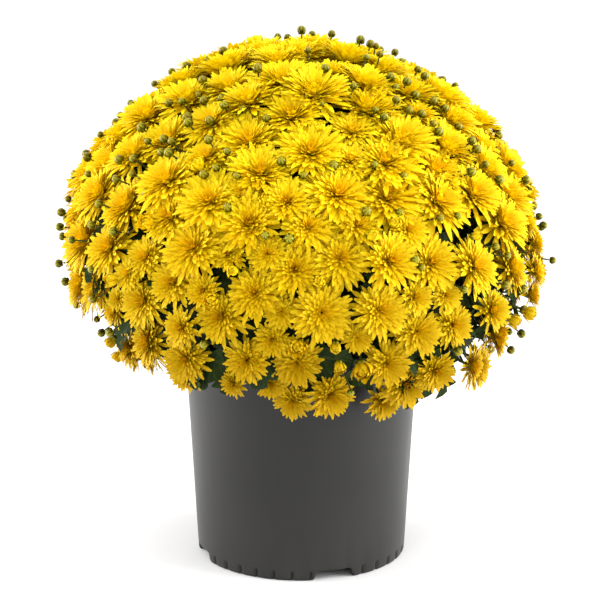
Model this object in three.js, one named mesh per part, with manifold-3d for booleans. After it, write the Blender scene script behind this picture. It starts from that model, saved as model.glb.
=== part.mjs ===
// A garden chrysanthemum in full flower, in a plain nursery pot.
// Millimetres, +Z up, the origin on the surface it stands on, under the middle of the pot.
// The front is towards -Y. Azimuths are degrees from the front, turning towards +X.
// A dome of double flowers stands on clusters of stalks, which branching stems carry out of the soil.

import * as THREE from 'three';
import { mergeVertices } from 'three/addons/utils/BufferGeometryUtils.js';
import Module from 'manifold-3d';

const wasm = await Module();
wasm.setup();

// Pot
const POT_HEIGHT = 215;
const POT_TOP_RADIUS = 111;
const POT_FOOT_RADIUS = 99;
const POT_SIDES = 32;
const WALL = 2;
const RIM_REACH = 4;
const RIM_DEPTH = 8;
const FLOOR_HEIGHT = 11;
const FOOT_WIDTH = 5;
const NOTCH_COUNT = 4;
const NOTCH_WIDTH = 36;
const NOTCH_HEIGHT = 9.5;
const FIRST_NOTCH_AZIMUTH = 18;

// Potting mix
const SOIL_HEIGHT = 196;
const SOIL_SIDES = 20;
const SOIL_GAP = 0.4;
const SOIL_RELIEF = 3;
const HOLE_DEPTH = 22;
const HOLE_GAP = 0.5;
const HOLE_SIDES = 6;

// The dome that the middles of the blooms lie on: two half ellipsoids, cut off below
const DOME_MIDDLE = 297;
const DOME_RADIUS = 218;
const DOME_RISE = 191;
const DOME_DROP = 157;
const DOME_LOWEST_ANGLE = -45;
const DOME_BANDS = 400;
const SHOULDER_CUT = 10;
const LEAN = 6.5;
const LEAN_TOP = 340;
const LEAN_BOTTOM = 260;

// Blooms
const BLOOM_SPACE = 1850;
const LARGE_RADIUS = 28;
const SMALL_RADIUS = 20;
const SKIRT_SHARE = 0.82;
const SKIRT_FULLNESS = 1.05;
const CROWN_FULLNESS = 1.2;
const LARGE_PETALS = 6;
const SMALL_PETALS = 5;
const SMALL_SHARE = 0.2;
const CUP_DEPTH = 10;
const VALLEY_REACH = 0.68;
const CROWN_REACH = 0.56;
const CROWN_RISE = 0.3;
const EYE_RISE = 0.1;
const PETAL_GAP = 0.45;
const PETAL_DROOP = 1.5;
const SCATTER = 5;
const UPWARD_LEAN = 0.35;
const LOW_LEAN = 0.4;
const FACING_SCATTER = 0.175;
const BAND_SCATTER = 1.25;
const SIDE_SCATTER = 7;
const FRONT_CROWDING = 0.55;
const CROWDING = 0.48;
const LEAST_REACH = 1.2;

// Buds
const BUD_TRIES = 900;
const BUD_RADIUS = 4.4;
const BUD_ROOM = 5.5;
const GREEN_STAND = 10;
const YELLOW_STAND = 6;
const BUD_STALK = 32;
const GREEN_SHARE = 0.76;
const BUDS_PER_STEM = 6;
const BUD_BLOOM_SHARE = 0.6;
const BUD_SPACE = 14.3;
const FRONT_BUD_SPACE = 8.6;
const FRONT_BUD_TURN = 80;
const SETTLE_ROUNDS = 6;

// Flower stalks and the cores that they spring from
const STALK_RADIUS = 1.5;
const BUD_STALK_RADIUS = 1.2;
const BUD_NECK_RADIUS = 1.05;
const STALK_ROOM = 4.5;
const HUB_DEPTH = 48;
const CLEAR_OF_HUB = 14;
const STALK_TURN = 17;
const WIDEST_TILT = 62;
const GATHER_ROUNDS = 7;
const CORE_RADIUS = 21;
const CROWN_TOP = 0.44;
const CROWN_HEIGHT = 0.73;
const WIDEST_FACET = 50;
const CENTRAL_TILT = 14;
const CENTRAL_SPREAD = 25;

// Stems and leaves
const TRUNK_RADIUS = 4.5;
const BRANCH_RADIUS = 2.6;
const BRANCH_STEPS = 3;
const SECTORS = 10;
const TRUNK_RING = 50;
const FORK_RING = 68;
const FORK_HEIGHT = 238;
const MIDDLE_FORK_HEIGHT = 335;
const TRUNK_BEND = 0.6;
const TRUNK_STAND = 6;
const TRUNK_GAP = 2;
const TOUCH_GAP = 0.4;
const LEAF_LENGTH = 48;
const LEAF_WIDTH = 32;
const LEAF_THICKNESS = 1.6;
const LEAF_NECK = 0.2;
const LEAF_CREST = 0.52;
const LEAF_SAG = 3;
const LEAF_TRIES = 90;
const LEAVES_PER_STEM = 3;
const THICKET_RADIUS = 88;
const THICKET_RISE = 72;
const THICKET_HEIGHT = 328;
const THICKET_RELIEF = 0.16;

// Rows of flower clusters, from the top down: how many, the angle above level, and the first one's azimuth
const CLUSTER_ROWS = [
  { count: 1, angle: 90, turn: 0 },
  { count: 6, angle: 62, turn: 12 },
  { count: SECTORS, angle: 36, turn: 0 },
  { count: SECTORS, angle: 8, turn: 10 },
  { count: SECTORS, angle: -25, turn: 0 },
];

// The blooms at the front that hang clear, as seen from VIEW_DISTANCE away and VIEW_PITCH above level:
// millimetres across from the pot's middle line, up from VIEW_HEIGHT, and the bloom's diameter
const VIEW_DISTANCE = 2000;
const VIEW_PITCH = 12.8;
const VIEW_HEIGHT = 244;
const FRONT_BLOOMS = [
  [-6, -63, 47], [28, -93, 46], [79, -99, 40], [80, -58, 45], [127, -67, 42], [-53, -55, 44],
  [-111, -55, 47], [-153, -42, 51], [-115, -24, 39], [-79, -17, 53], [-43, 7, 52], [21, -11, 57],
  [77, -9, 54], [112, -32, 48], [149, -26, 43], [-19, -12, 33], [52, -36, 30], [-29, -38, 35],
  [-155, -1, 52], [-124, 17, 47], [-152, 42, 42], [-103, 52, 57], [-183, 52, 52], [-199, 14, 54],
  [-3, 30, 50], [42, 42, 54], [88, 38, 51], [131, 36, 52], [169, 34, 54], [206, 32, 52],
  [181, -8, 42], [162, -60, 36], [136, 99, 57], [86, 104, 57], [36, 106, 57], [-49, 75, 54],
  [-89, 97, 52], [-176, 95, 55], [-133, 119, 54], [-10, -99, 38], [-30, -81, 30], [-66, -78, 28],
];
// The half-hidden ones between them, in the same way
const FRONT_FILLERS = [
  [9, 71, 43], [-30, 45, 34], [58, 74, 38], [106, 68, 34], [49, 140, 38], [107, 121, 32], [143, 4, 32],
  [-128, 83, 47], [-92, 9, 34], [-68, 45, 34], [-162, 26, 32], [-177, 0, 25], [-58, 104, 32],
  [113, 2, 36], [-166, -45, 38],
];
const FILLER_INDEX = 400;

// Openings at the front that only leaves and stalks fill, in the same view: across, up and radius
const FRONT_OPENINGS = [
  [211, -21, 16], [-181, -26, 12.5], [-130, -84, 22], [128, -50, 22], [-30, -100, 22],
];

// The buds at the front, in the same view: millimetres across and up
const FRONT_GREEN_BUDS = [
  [-24, 251], [29, 250], [41, 245], [50, 237], [63, 234], [97, 225], [108, 214], [114, 209], [143, 207],
  [152, 205], [176, 170], [184, 160], [-142, 214], [-126, 216], [-109, 218], [-86, 227], [-103, 196],
  [-93, 189], [-83, 181], [-77, 193], [-99, 177], [-115, 194], [-167, 185], [-167, 142], [-157, 132],
  [-145, 151], [-133, 140], [-122, 149], [-128, 129], [-198, 111], [-222, 94], [-215, 98], [-224, 81],
  [-218, 68], [-222, 52], [-216, 36], [-171, -24], [-185, 5], [-47, 167], [-87, 150], [-81, 125], [-59, 109],
  [-65, 85], [18, 189], [49, 198], [83, 212], [90, 203], [98, 203], [69, 182], [78, 173], [101, 178],
  [113, 175], [123, 165], [129, 158], [150, 165], [155, 151], [69, 127], [100, 125], [32, 123], [163, 113],
  [219, 88], [228, 78], [180, 50], [188, 42], [107, 38], [118, 32], [186, 16], [143, -44], [44, -77],
  [-90, -38], [-8, 57], [-112, 186], [-120, 205], [-96, 205], [-88, 172], [-106, 166], [-134, 160],
  [-150, 162], [-161, 120], [-172, 112], [-180, 92], [-139, 112], [-92, 118], [-70, 140], [-54, 190],
  [-36, 214], [6, 232], [22, 214], [62, 218], [74, 226], [88, 186], [112, 192], [126, 190], [136, 182],
  [162, 140], [174, 128], [183, 112], [196, 128], [204, 108], [144, 84], [128, 76], [92, 88], [60, 80],
  [-20, 132], [2, 118], [-30, 60], [-176, 60], [-190, 70], [-204, 56], [-186, 30], [148, 8], [204, 12],
];
const FRONT_YELLOW_BUDS = [
  [20, 18], [-82, 3], [-4, -40], [31, -42], [34, -58], [55, -60], [196, -17], [206, -8], [70, 60],
  [-140, 75], [-60, 28], [100, 70], [-100, 130], [10, 150], [140, 120], [-20, 95], [-170, 20], [165, 60],
];

const TURN = 2 * Math.PI;
const THICKET_GRAIN = new THREE.Vector3(40, 3600, 324000);
const GOLDEN_TURN = TURN * (1 - 1 / ((1 + Math.sqrt(5)) / 2));
const UP = new THREE.Vector3(0, 0, 1);
const radians = THREE.MathUtils.degToRad;

// A repeatable draw between 0 and 1 for a counted thing
function draw(index, salt) {
  const value = Math.sin(index * 12.9898 + salt * 78.233) * 43758.5453;
  return value - Math.floor(value);
}

// A repeatable draw between two values
function between(low, high, index, salt) {
  return low + (high - low) * draw(index, salt);
}

// A point at an azimuth, a distance from the pot's middle line and a height
function around(azimuth, radius, height) {
  return new THREE.Vector3(radius * Math.sin(azimuth), -radius * Math.cos(azimuth), height);
}

// Two directions square to a given one, so that the three make a right-handed frame
function frameOf(axis) {
  const helper = Math.abs(axis.z) < 0.9 ? UP : new THREE.Vector3(1, 0, 0);
  const across = new THREE.Vector3().crossVectors(helper, axis).normalize();
  const along = new THREE.Vector3().crossVectors(axis, across);
  return { across, along };
}

function offset(point, direction, distance) {
  return point.clone().addScaledVector(direction, distance);
}

// The dome at an angle above level: distance out, height and outward direction in the upright plane
function domeAt(angle) {
  const rise = angle >= 0 ? DOME_RISE : DOME_DROP;
  const out = Math.cos(angle) / DOME_RADIUS;
  const up = Math.sin(angle) / rise;
  const length = Math.hypot(out, up);
  return {
    radius: DOME_RADIUS * Math.cos(angle),
    height: DOME_MIDDLE + rise * Math.sin(angle),
    out: out / length,
    up: up / length,
  };
}

// The dome's area from the top down, band by band
function domeBands() {
  const bands = [0];
  const bottom = radians(DOME_LOWEST_ANGLE);
  const top = Math.PI / 2;
  let last = domeAt(top);
  for (let band = 1; band <= DOME_BANDS; band += 1) {
    const next = domeAt(top + (bottom - top) * band / DOME_BANDS);
    const slant = Math.hypot(next.radius - last.radius, next.height - last.height);
    bands.push(bands[band - 1] + Math.PI * (next.radius + last.radius) * slant);
    last = next;
  }
  return bands;
}

const AREA_BANDS = domeBands();
const DOME_AREA = AREA_BANDS[DOME_BANDS];

// The angle above which a share of the dome's area lies
function angleForShare(share) {
  const area = share * DOME_AREA;
  let band = 1;
  while (band < DOME_BANDS && AREA_BANDS[band] < area) {
    band += 1;
  }
  const part = (area - AREA_BANDS[band - 1]) / (AREA_BANDS[band] - AREA_BANDS[band - 1]);
  const top = Math.PI / 2;
  return top + (radians(DOME_LOWEST_ANGLE) - top) * (band - 1 + part) / DOME_BANDS;
}

// How far the plant hangs over towards +X at a height
function leanAt(height) {
  return THREE.MathUtils.clamp(THREE.MathUtils.mapLinear(height, LEAN_TOP, LEAN_BOTTOM, 0, LEAN), 0, LEAN);
}

// A place on the dome, raised from it by a distance
function domePlace(azimuth, angle, raise) {
  const spot = domeAt(angle);
  const normal = around(azimuth, spot.out, spot.up);
  const cut = SHOULDER_CUT * Math.max(0, Math.sin(2 * angle));
  const point = offset(around(azimuth, spot.radius, spot.height), normal, raise - cut);
  point.x += leanAt(point.z);
  return { point, normal };
}

// The place on the dome that shows at a point of the front view
function placeFromView(across, up) {
  const pitch = radians(VIEW_PITCH);
  const eye = new THREE.Vector3(0, -Math.cos(pitch), Math.sin(pitch)).multiplyScalar(VIEW_DISTANCE);
  eye.z += VIEW_HEIGHT;
  const height = VIEW_HEIGHT + up * Math.cos(pitch);
  const seen = new THREE.Vector3(across - leanAt(height), up * Math.sin(pitch), height);
  const ray = seen.sub(eye).normalize();
  let angle = 0;
  let azimuth = 0;
  for (const rise of [DOME_DROP, DOME_RISE]) {
    const stretch = DOME_RADIUS / rise;
    const from = new THREE.Vector3(eye.x, eye.y, (eye.z - DOME_MIDDLE) * stretch);
    const along = new THREE.Vector3(ray.x, ray.y, ray.z * stretch);
    const a = along.dot(along);
    const b = from.dot(along);
    const c = from.dot(from) - DOME_RADIUS * DOME_RADIUS;
    const reach = (-b - Math.sqrt(Math.max(0, b * b - a * c))) / a;
    const hit = from.addScaledVector(along, reach);
    const isUpper = rise === DOME_RISE;
    if (isUpper === hit.z >= 0) {
      angle = Math.asin(THREE.MathUtils.clamp(hit.z / DOME_RADIUS, -1, 1));
      azimuth = Math.atan2(hit.x, -hit.y);
    }
  }
  return { azimuth, angle };
}

// Where a place shows in the front view
function viewOf(place) {
  const pitch = radians(VIEW_PITCH);
  const from = place.clone().setZ(place.z - VIEW_HEIGHT);
  const depth = VIEW_DISTANCE + from.y * Math.cos(pitch) - from.z * Math.sin(pitch);
  const scale = VIEW_DISTANCE / depth;
  return { across: from.x * scale, up: (from.y * Math.sin(pitch) + from.z * Math.cos(pitch)) * scale };
}

// One bloom: its middle, the way it faces, and its radius
function makeBloom(azimuth, angle, radius, index) {
  const raise = between(-SCATTER, SCATTER, index, 3);
  const { point, normal } = domePlace(azimuth, angle, raise);
  const facing = normal.clone().addScaledVector(UP, UPWARD_LEAN + LOW_LEAN * Math.max(0, -normal.z));
  facing.x += between(-FACING_SCATTER, FACING_SCATTER, index, 4);
  facing.y += between(-FACING_SCATTER, FACING_SCATTER, index, 5);
  facing.normalize();
  const isLarge = radius > (LARGE_RADIUS + SMALL_RADIUS) / 2;
  const petals = isLarge ? LARGE_PETALS : SMALL_PETALS;
  const cup = CUP_DEPTH * radius / LARGE_RADIUS;
  const height = THREE.MathUtils.clamp(2 * normal.z, 0, 1);
  const fullness = THREE.MathUtils.lerp(SKIRT_FULLNESS, CROWN_FULLNESS, height);
  return { kind: 'bloom', point, normal, facing, radius, petals, cup, fullness, room: radius, index };
}

// Every bloom: the ones at the front first, then a golden-angle spiral over the rest of the dome
function placeBlooms() {
  const blooms = [];
  [...FRONT_BLOOMS, ...FRONT_FILLERS].forEach(([across, up, diameter], place) => {
    const { azimuth, angle } = placeFromView(across, up);
    const index = place < FRONT_BLOOMS.length ? place : FILLER_INDEX + place;
    blooms.push(makeBloom(azimuth, angle, diameter / 2, index));
  });
  const frontCount = blooms.length;
  const count = Math.round(DOME_AREA / BLOOM_SPACE);
  for (let step = 0; step < count; step += 1) {
    const index = FRONT_BLOOMS.length + step;
    const share = (step + 0.5 + between(-BAND_SCATTER, BAND_SCATTER, index, 1)) / count;
    const angle = angleForShare(THREE.MathUtils.clamp(share, 0, 1));
    const reach = Math.max(2 * SMALL_RADIUS, domeAt(angle).radius);
    const azimuth = step * GOLDEN_TURN + between(-SIDE_SCATTER, SIDE_SCATTER, index, 2) / reach;
    const isSmall = draw(index, 6) < SMALL_SHARE;
    const skirt = THREE.MathUtils.mapLinear(angle, radians(DOME_LOWEST_ANGLE), 0, SKIRT_SHARE, 1);
    const size = (isSmall ? SMALL_RADIUS : LARGE_RADIUS) * Math.min(1, skirt);
    const radius = size * between(0.88, 1.08, index, 7);
    const bloom = makeBloom(azimuth, angle, radius, index);
    const isCrowded = blooms.some((other, place) => {
      const crowding = place < frontCount ? FRONT_CROWDING : CROWDING;
      return other.point.distanceTo(bloom.point) < crowding * (other.radius + radius);
    });
    const seen = viewOf(bloom.point);
    const isInOpening = bloom.point.y < 0 && FRONT_OPENINGS.some(([across, up, reach]) => (
      Math.hypot(seen.across - across, seen.up - up) < reach));
    if (!isCrowded && !isInOpening) {
      blooms.push(bloom);
    }
  }
  return blooms;
}

// One bud: its middle, the way it faces, and the elbow where its stalk turns outwards
function makeBud(kind, place, index) {
  const { point, normal } = place;
  const elbow = offset(point, normal, -BUD_STALK);
  const size = BUD_RADIUS * between(0.8, 1.15, index, 13);
  return { kind, point, facing: normal, elbow, size, room: BUD_ROOM, index };
}

// How far a bud stands out from the dome
function budStand(kind, index) {
  return (kind === 'green' ? GREEN_STAND : YELLOW_STAND) * between(0.6, 1.4, index, 12);
}

// Moves a bud's place along the dome, out of the middles of the blooms
function settle(place, blooms) {
  for (let round = 0; round < SETTLE_ROUNDS; round += 1) {
    blooms.forEach((bloom) => {
      const away = place.point.clone().sub(bloom.point);
      const room = BUD_BLOOM_SHARE * bloom.radius + BUD_ROOM;
      const lack = room - away.length();
      away.addScaledVector(place.normal, -away.dot(place.normal)).normalize();
      if (lack > 0) {
        place.point.addScaledVector(away, lack);
      }
    });
  }
  return place;
}

// Buds: the ones at the front first, then wherever the blooms leave a gap on the other sides
function placeBuds(blooms) {
  const buds = [];
  const addClear = (bud, space) => {
    if (buds.every((other) => other.point.distanceTo(bud.point) > space)) {
      buds.push(bud);
    }
  };
  const front = [
    ...FRONT_YELLOW_BUDS.map((seen) => ['yellow', seen]),
    ...FRONT_GREEN_BUDS.map((seen) => ['green', seen]),
  ];
  front.forEach(([kind, [across, up]], place) => {
    const index = BUD_TRIES + place;
    const { azimuth, angle } = placeFromView(across, up);
    const spot = domePlace(azimuth, angle, budStand(kind, index));
    addClear(makeBud(kind, settle(spot, blooms), index), FRONT_BUD_SPACE);
  });
  for (let step = 0; step < BUD_TRIES; step += 1) {
    const angle = angleForShare((step + 0.5) / BUD_TRIES);
    const azimuth = step * GOLDEN_TURN + 1;
    const kind = draw(step, 11) < GREEN_SHARE ? 'green' : 'yellow';
    const spot = domePlace(azimuth, angle, budStand(kind, step));
    const nearBloom = blooms.some((bloom) => (
      bloom.point.distanceTo(spot.point) < BUD_BLOOM_SHARE * bloom.radius + BUD_ROOM));
    const isFront = turnGap(azimuth, 0) < radians(FRONT_BUD_TURN);
    if (!nearBloom && !isFront) {
      addClear(makeBud(kind, spot, step), BUD_SPACE);
    }
  }
  return buds;
}

// The seeds of the clusters, one for each place in the rows
function clusterSeeds() {
  const seeds = [];
  CLUSTER_ROWS.forEach((row, level) => {
    for (let place = 0; place < row.count; place += 1) {
      const azimuth = radians(row.turn + 360 * place / row.count);
      const { point, normal } = domePlace(azimuth, radians(row.angle), 0);
      const hub = offset(point, normal, -HUB_DEPTH);
      seeds.push({ level, place, hub, axis: normal, members: [] });
    }
  });
  return seeds;
}

// Each bloom joins the nearest hub, and each hub moves under the middle of its blooms
function gatherClusters(blooms) {
  const clusters = clusterSeeds();
  for (let round = 0; round < GATHER_ROUNDS; round += 1) {
    clusters.forEach((cluster) => { cluster.members = []; });
    blooms.forEach((bloom) => {
      nearestCluster(clusters, bloom.point).members.push(bloom);
    });
    clusters.forEach((cluster) => {
      const middle = new THREE.Vector3();
      const axis = new THREE.Vector3();
      cluster.members.forEach((bloom) => {
        middle.add(bloom.point);
        axis.add(bloom.normal);
      });
      middle.divideScalar(cluster.members.length);
      cluster.axis = axis.normalize();
      cluster.hub = offset(middle, axis, -HUB_DEPTH);
    });
  }
  return clusters;
}

function nearestCluster(clusters, point) {
  let best = clusters[0];
  clusters.forEach((cluster) => {
    if (cluster.hub.distanceTo(point) < best.hub.distanceTo(point)) {
      best = cluster;
    }
  });
  return best;
}

// The straight runs of a member's stalk, from a little way out of its hub
function stalkRuns(site, hub) {
  const first = site.elbow || offset(site.point, site.facing, -site.cup);
  const start = offset(hub, first.clone().sub(hub).normalize(), CLEAR_OF_HUB);
  return [new THREE.Line3(start, first), new THREE.Line3(first, site.point)];
}

// The way from a cluster's hub to a member: how far it leans from the cluster's axis, and to which side
function bearing(cluster, site) {
  const { across, along } = frameOf(cluster.axis);
  const first = site.elbow || offset(site.point, site.facing, -site.cup);
  const aim = first.clone().sub(cluster.hub);
  return { tilt: aim.angleTo(cluster.axis), angle: Math.atan2(aim.dot(along), aim.dot(across)) };
}

// A yellow bud joins the nearest hub, one to a hub, where its stalk keeps clear of the other stalks there
function joinYellowBuds(clusters, buds) {
  buds.filter((bud) => bud.kind === 'yellow').forEach((bud) => {
    const cluster = nearestCluster(clusters, bud.elbow);
    const runs = stalkRuns(bud, cluster.hub);
    const others = cluster.members.flatMap((site) => stalkRuns(site, cluster.hub));
    const clear = cluster.members.every((site) => site.kind === 'bloom') && others.every((other) => (
      runs.every((run) => Math.sqrt(run.distanceSqToLine3(other)) > STALK_ROOM)));
    const aim = bearing(cluster, bud);
    const apart = cluster.members.every((site) => (
      turnGap(bearing(cluster, site).angle, aim.angle) > radians(STALK_TURN)));
    if (clear && apart && aim.tilt < radians(WIDEST_TILT)) {
      cluster.members.push(bud);
    }
  });
}

// The points and faces of one closed body as it grows
class Skin {
  constructor() {
    this.points = [];
    this.faces = [];
  }

  point(place) {
    this.points.push(place.clone());
    return this.points.length - 1;
  }

  face(a, b, c) {
    this.faces.push([a, b, c]);
  }

  // Joins two rings, each a list of { id, angle } in turning order, the first one nearer the root
  bridge(low, high) {
    let shift = 0;
    high.forEach((spot, place) => {
      if (turnGap(spot.angle, low[0].angle) < turnGap(high[shift].angle, low[0].angle)) {
        shift = place;
      }
    });
    const lows = unwind(low, 0, low[0].angle);
    const highs = unwind(high, shift, low[0].angle - Math.PI);
    let i = 0;
    let j = 0;
    while (i < low.length || j < high.length) {
      const lowStep = i < low.length ? lows[i].angle + lows[i + 1].angle : Infinity;
      const highStep = j < high.length ? highs[j].angle + highs[j + 1].angle : Infinity;
      if (lowStep <= highStep) {
        this.face(lows[i].id, lows[i + 1].id, highs[j].id);
        i += 1;
      } else {
        this.face(lows[i].id, highs[j + 1].id, highs[j].id);
        j += 1;
      }
    }
  }

  solid() {
    const vertProperties = new Float32Array(this.points.flatMap((spot) => spot.toArray()));
    const triVerts = new Uint32Array(this.faces.flat());
    return new wasm.Manifold(new wasm.Mesh({ numProp: 3, vertProperties, triVerts }));
  }
}

function turnGap(a, b) {
  const gap = Math.abs(a - b) % TURN;
  return Math.min(gap, TURN - gap);
}

// A ring's spots from one of them all the way round to it again, with rising angles
function unwind(ring, first, least) {
  const spots = [];
  let last = least;
  for (let step = 0; step <= ring.length; step += 1) {
    const spot = ring[(first + step) % ring.length];
    let angle = spot.angle;
    while (angle < last) {
      angle += TURN;
    }
    while (angle >= last + TURN) {
      angle -= TURN;
    }
    if (step === ring.length) {
      angle = spots[0].angle + TURN;
    }
    spots.push({ id: spot.id, angle });
    last = angle;
  }
  return spots;
}

// The end of a stalk: three points round its axis, turned to match the root's three
function stalkEnd(skin, root, place, axis, radius) {
  const { across, along } = frameOf(axis);
  const middle = new THREE.Vector3();
  root.forEach((id) => middle.addScaledVector(skin.points[id], 1 / 3));
  const first = skin.points[root[0]].clone().sub(middle);
  const start = Math.atan2(first.dot(along), first.dot(across));
  const ring = [];
  for (let side = 0; side < 3; side += 1) {
    const angle = start + TURN * side / 3;
    const spot = offset(place, across, radius * Math.cos(angle));
    spot.addScaledVector(along, radius * Math.sin(angle));
    ring.push({ id: skin.point(spot), angle });
  }
  root.forEach((id, side) => {
    const next = (side + 1) % 3;
    skin.face(id, root[next], ring[next].id);
    skin.face(id, ring[next].id, ring[side].id);
  });
  return ring;
}

// A ring of points round an axis: each point has an angle, a reach and a height
function ringOf(skin, site, spots) {
  const { across, along } = frameOf(site.facing);
  return spots.map(({ angle, reach, height }) => {
    const out = across.clone().multiplyScalar(Math.cos(angle));
    out.addScaledVector(along, Math.sin(angle));
    const spot = offset(site.point, site.facing, height);
    const length = roomAlong(site, spot, out, reach);
    return { id: skin.point(spot.addScaledVector(out, length)), angle };
  });
}

// How far a petal can reach before it comes to the middle between two neighbours
function roomAlong(site, start, out, reach) {
  let length = reach;
  site.walls.forEach((wall) => {
    const closing = out.dot(wall.direction);
    if (closing > 0) {
      const left = wall.distance - start.clone().sub(site.point).dot(wall.direction);
      length = Math.min(length, Math.max(LEAST_REACH, left / closing));
    }
  });
  return length;
}

// The upright walls between a site and its neighbours, placed by their sizes
function setWalls(sites) {
  sites.forEach((site) => {
    site.walls = [];
    sites.forEach((other) => {
      const low = other.elbow || other.point;
      const nearest = new THREE.Line3(low, other.point).closestPointToPoint(
        site.point, true, new THREE.Vector3());
      const direction = nearest.sub(site.point);
      const distance = direction.length();
      if (other !== site && distance < 3 * LARGE_RADIUS) {
        direction.divideScalar(distance);
        const share = site.room / (site.room + other.room);
        site.walls.push({ direction, distance: distance * share - PETAL_GAP });
      }
    });
  });
}

// A double bloom on its stalk's end: an outer layer of petals, an inner layer that stands up, and the eye
function growBloom(skin, root, bloom) {
  const foot = offset(bloom.point, bloom.facing, -bloom.cup);
  const base = stalkEnd(skin, root, foot, bloom.facing, STALK_RADIUS);
  const start = draw(bloom.index, 8) * TURN;
  const outer = [];
  const inner = [];
  for (let petal = 0; petal < bloom.petals; petal += 1) {
    const tip = start + TURN * petal / bloom.petals;
    const valley = tip + Math.PI / bloom.petals;
    const mark = bloom.index * 31 + petal;
    const full = bloom.radius * bloom.fullness;
    const droop = between(-PETAL_DROOP, PETAL_DROOP, mark, 10);
    outer.push({ angle: tip, reach: full * between(0.92, 1.05, mark, 9), height: droop });
    outer.push({ angle: valley, reach: full * VALLEY_REACH, height: -1 });
    inner.push({ angle: valley, reach: bloom.radius * CROWN_REACH, height: bloom.radius * CROWN_RISE });
  }
  const outerRing = ringOf(skin, bloom, outer);
  const innerRing = ringOf(skin, bloom, inner);
  skin.bridge(base, outerRing);
  skin.bridge(outerRing, innerRing);
  const eye = skin.point(offset(bloom.point, bloom.facing, bloom.radius * EYE_RISE));
  innerRing.forEach((spot, place) => {
    skin.face(spot.id, innerRing[(place + 1) % innerRing.length].id, eye);
  });
}

// A round bud on its stalk's end
function growBud(skin, root, bud) {
  const start = new THREE.Vector3();
  root.forEach((id) => start.addScaledVector(skin.points[id], 1 / 3));
  const bend = bud.elbow.clone().sub(start).normalize().add(bud.facing).normalize();
  const base = stalkEnd(skin, root, bud.elbow, bend, BUD_STALK_RADIUS);
  const foot = offset(bud.point, bud.facing, -bud.size);
  const neck = stalkEnd(skin, base.map((spot) => spot.id), foot, bud.facing, BUD_NECK_RADIUS);
  const { across, along } = frameOf(bud.facing);
  const ring = [];
  for (let side = 0; side < 4; side += 1) {
    const angle = TURN * side / 4;
    const spot = offset(bud.point, across, bud.size * Math.cos(angle));
    spot.addScaledVector(along, bud.size * Math.sin(angle));
    ring.push({ id: skin.point(spot), angle });
  }
  skin.bridge(neck, ring);
  const tip = skin.point(offset(bud.point, bud.facing, bud.size));
  ring.forEach((spot, place) => skin.face(spot.id, ring[(place + 1) % 4].id, tip));
}

// A crown: a facet faces each member, and the member grows from it. Gives back the crown's lowest ring
function growCrown(skin, middle, axis, members, size) {
  const { across, along } = frameOf(axis);
  members.forEach((member) => {
    const aim = member.aim.clone().sub(middle);
    member.tilt = aim.angleTo(axis);
    member.angle = Math.atan2(aim.dot(along), aim.dot(across));
  });
  const central = pickCentral(members);
  const outer = members.filter((member) => member !== central);
  outer.sort((a, b) => a.angle - b.angle);
  const sectors = crownSectors(outer);
  const spotAt = (angle, radius, height) => {
    const spot = offset(middle, across, radius * Math.cos(angle));
    return spot.addScaledVector(along, radius * Math.sin(angle)).addScaledVector(axis, height);
  };
  const low = sectors.map((sector) => skin.point(spotAt(sector.from, size, 0)));
  const first = sectors[0].middle;
  const top = [0, 1, 2].map((side) => (
    skin.point(spotAt(first + TURN * side / 3, size * CROWN_TOP, size * CROWN_HEIGHT))));
  let side = 0;
  sectors.forEach((sector, place) => {
    const next = (place + 1) % sectors.length;
    const root = [low[place], low[next], top[side % 3]];
    if (sector.member) {
      sector.member.grow(root);
    } else {
      skin.face(...root);
    }
    const following = next === 0 ? first + TURN : sectors[next].middle;
    while (side < Math.round((following - first) / (TURN / 3))) {
      skin.face(low[next], top[(side + 1) % 3], top[side % 3]);
      side += 1;
    }
  });
  central.grow(top);
  return low;
}

// The member that a crown's top carries: one near the axis that leaves the others well spread
function pickCentral(members) {
  const least = Math.min(...members.map((member) => member.tilt));
  let best = null;
  members.filter((member) => member.tilt < least + radians(CENTRAL_TILT)).forEach((member) => {
    const angles = members.filter((other) => other !== member).map((other) => other.angle);
    const spread = Math.min(...angles.flatMap((angle, place) => (
      angles.slice(0, place).map((other) => turnGap(angle, other)))));
    const worth = Math.min(spread, radians(CENTRAL_SPREAD)) - (member.tilt - least) / 2;
    if (!best || worth > best.worth) {
      best = { member, worth };
    }
  });
  return best.member;
}

// The turns round a crown: one for each member, with plain ones where the members leave a wide space
function crownSectors(members) {
  const widest = radians(WIDEST_FACET);
  const gaps = members.map((member, place) => {
    const isLast = place === members.length - 1;
    const next = members[(place + 1) % members.length];
    return next.angle + (isLast ? TURN : 0) - member.angle;
  });
  const sectors = [];
  members.forEach((member, place) => {
    const before = Math.min(gaps[(place + gaps.length - 1) % gaps.length] / 2, widest);
    const after = Math.min(gaps[place] / 2, widest);
    sectors.push({ member, from: member.angle - before, middle: member.angle });
    if (gaps[place] > 2 * after + 0.01) {
      sectors.push({ from: member.angle + after, middle: member.angle + gaps[place] / 2 });
    }
  });
  return sectors;
}

// Closes a ring that turns the right way seen from inside the body
function closeRing(skin, ring) {
  for (let place = 1; place < ring.length - 1; place += 1) {
    skin.face(ring[0], ring[place + 1], ring[place]);
  }
}

// One cluster of blooms and opening buds on the core where their stalks thicken and meet
function makeCluster(cluster) {
  const skin = new Skin();
  const members = cluster.members.map((site) => ({
    aim: site.elbow || offset(site.point, site.facing, -site.cup),
    grow: (root) => growSite(skin, root, site),
  }));
  closeRing(skin, growCrown(skin, cluster.hub, cluster.axis, members, CORE_RADIUS));
  return skin;
}

function growSite(skin, root, site) {
  if (site.kind === 'bloom') {
    growBloom(skin, root, site);
  } else {
    growBud(skin, root, site);
  }
}

// A lobed leaf on its short stalk: half of the outline as [along, across] shares of its length and width
const LEAF_OUTLINE = [[0.3, 0.82], [0.46, 0.42], [0.66, 1], [0.72, 0.46], [1, 0.1]];

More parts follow.
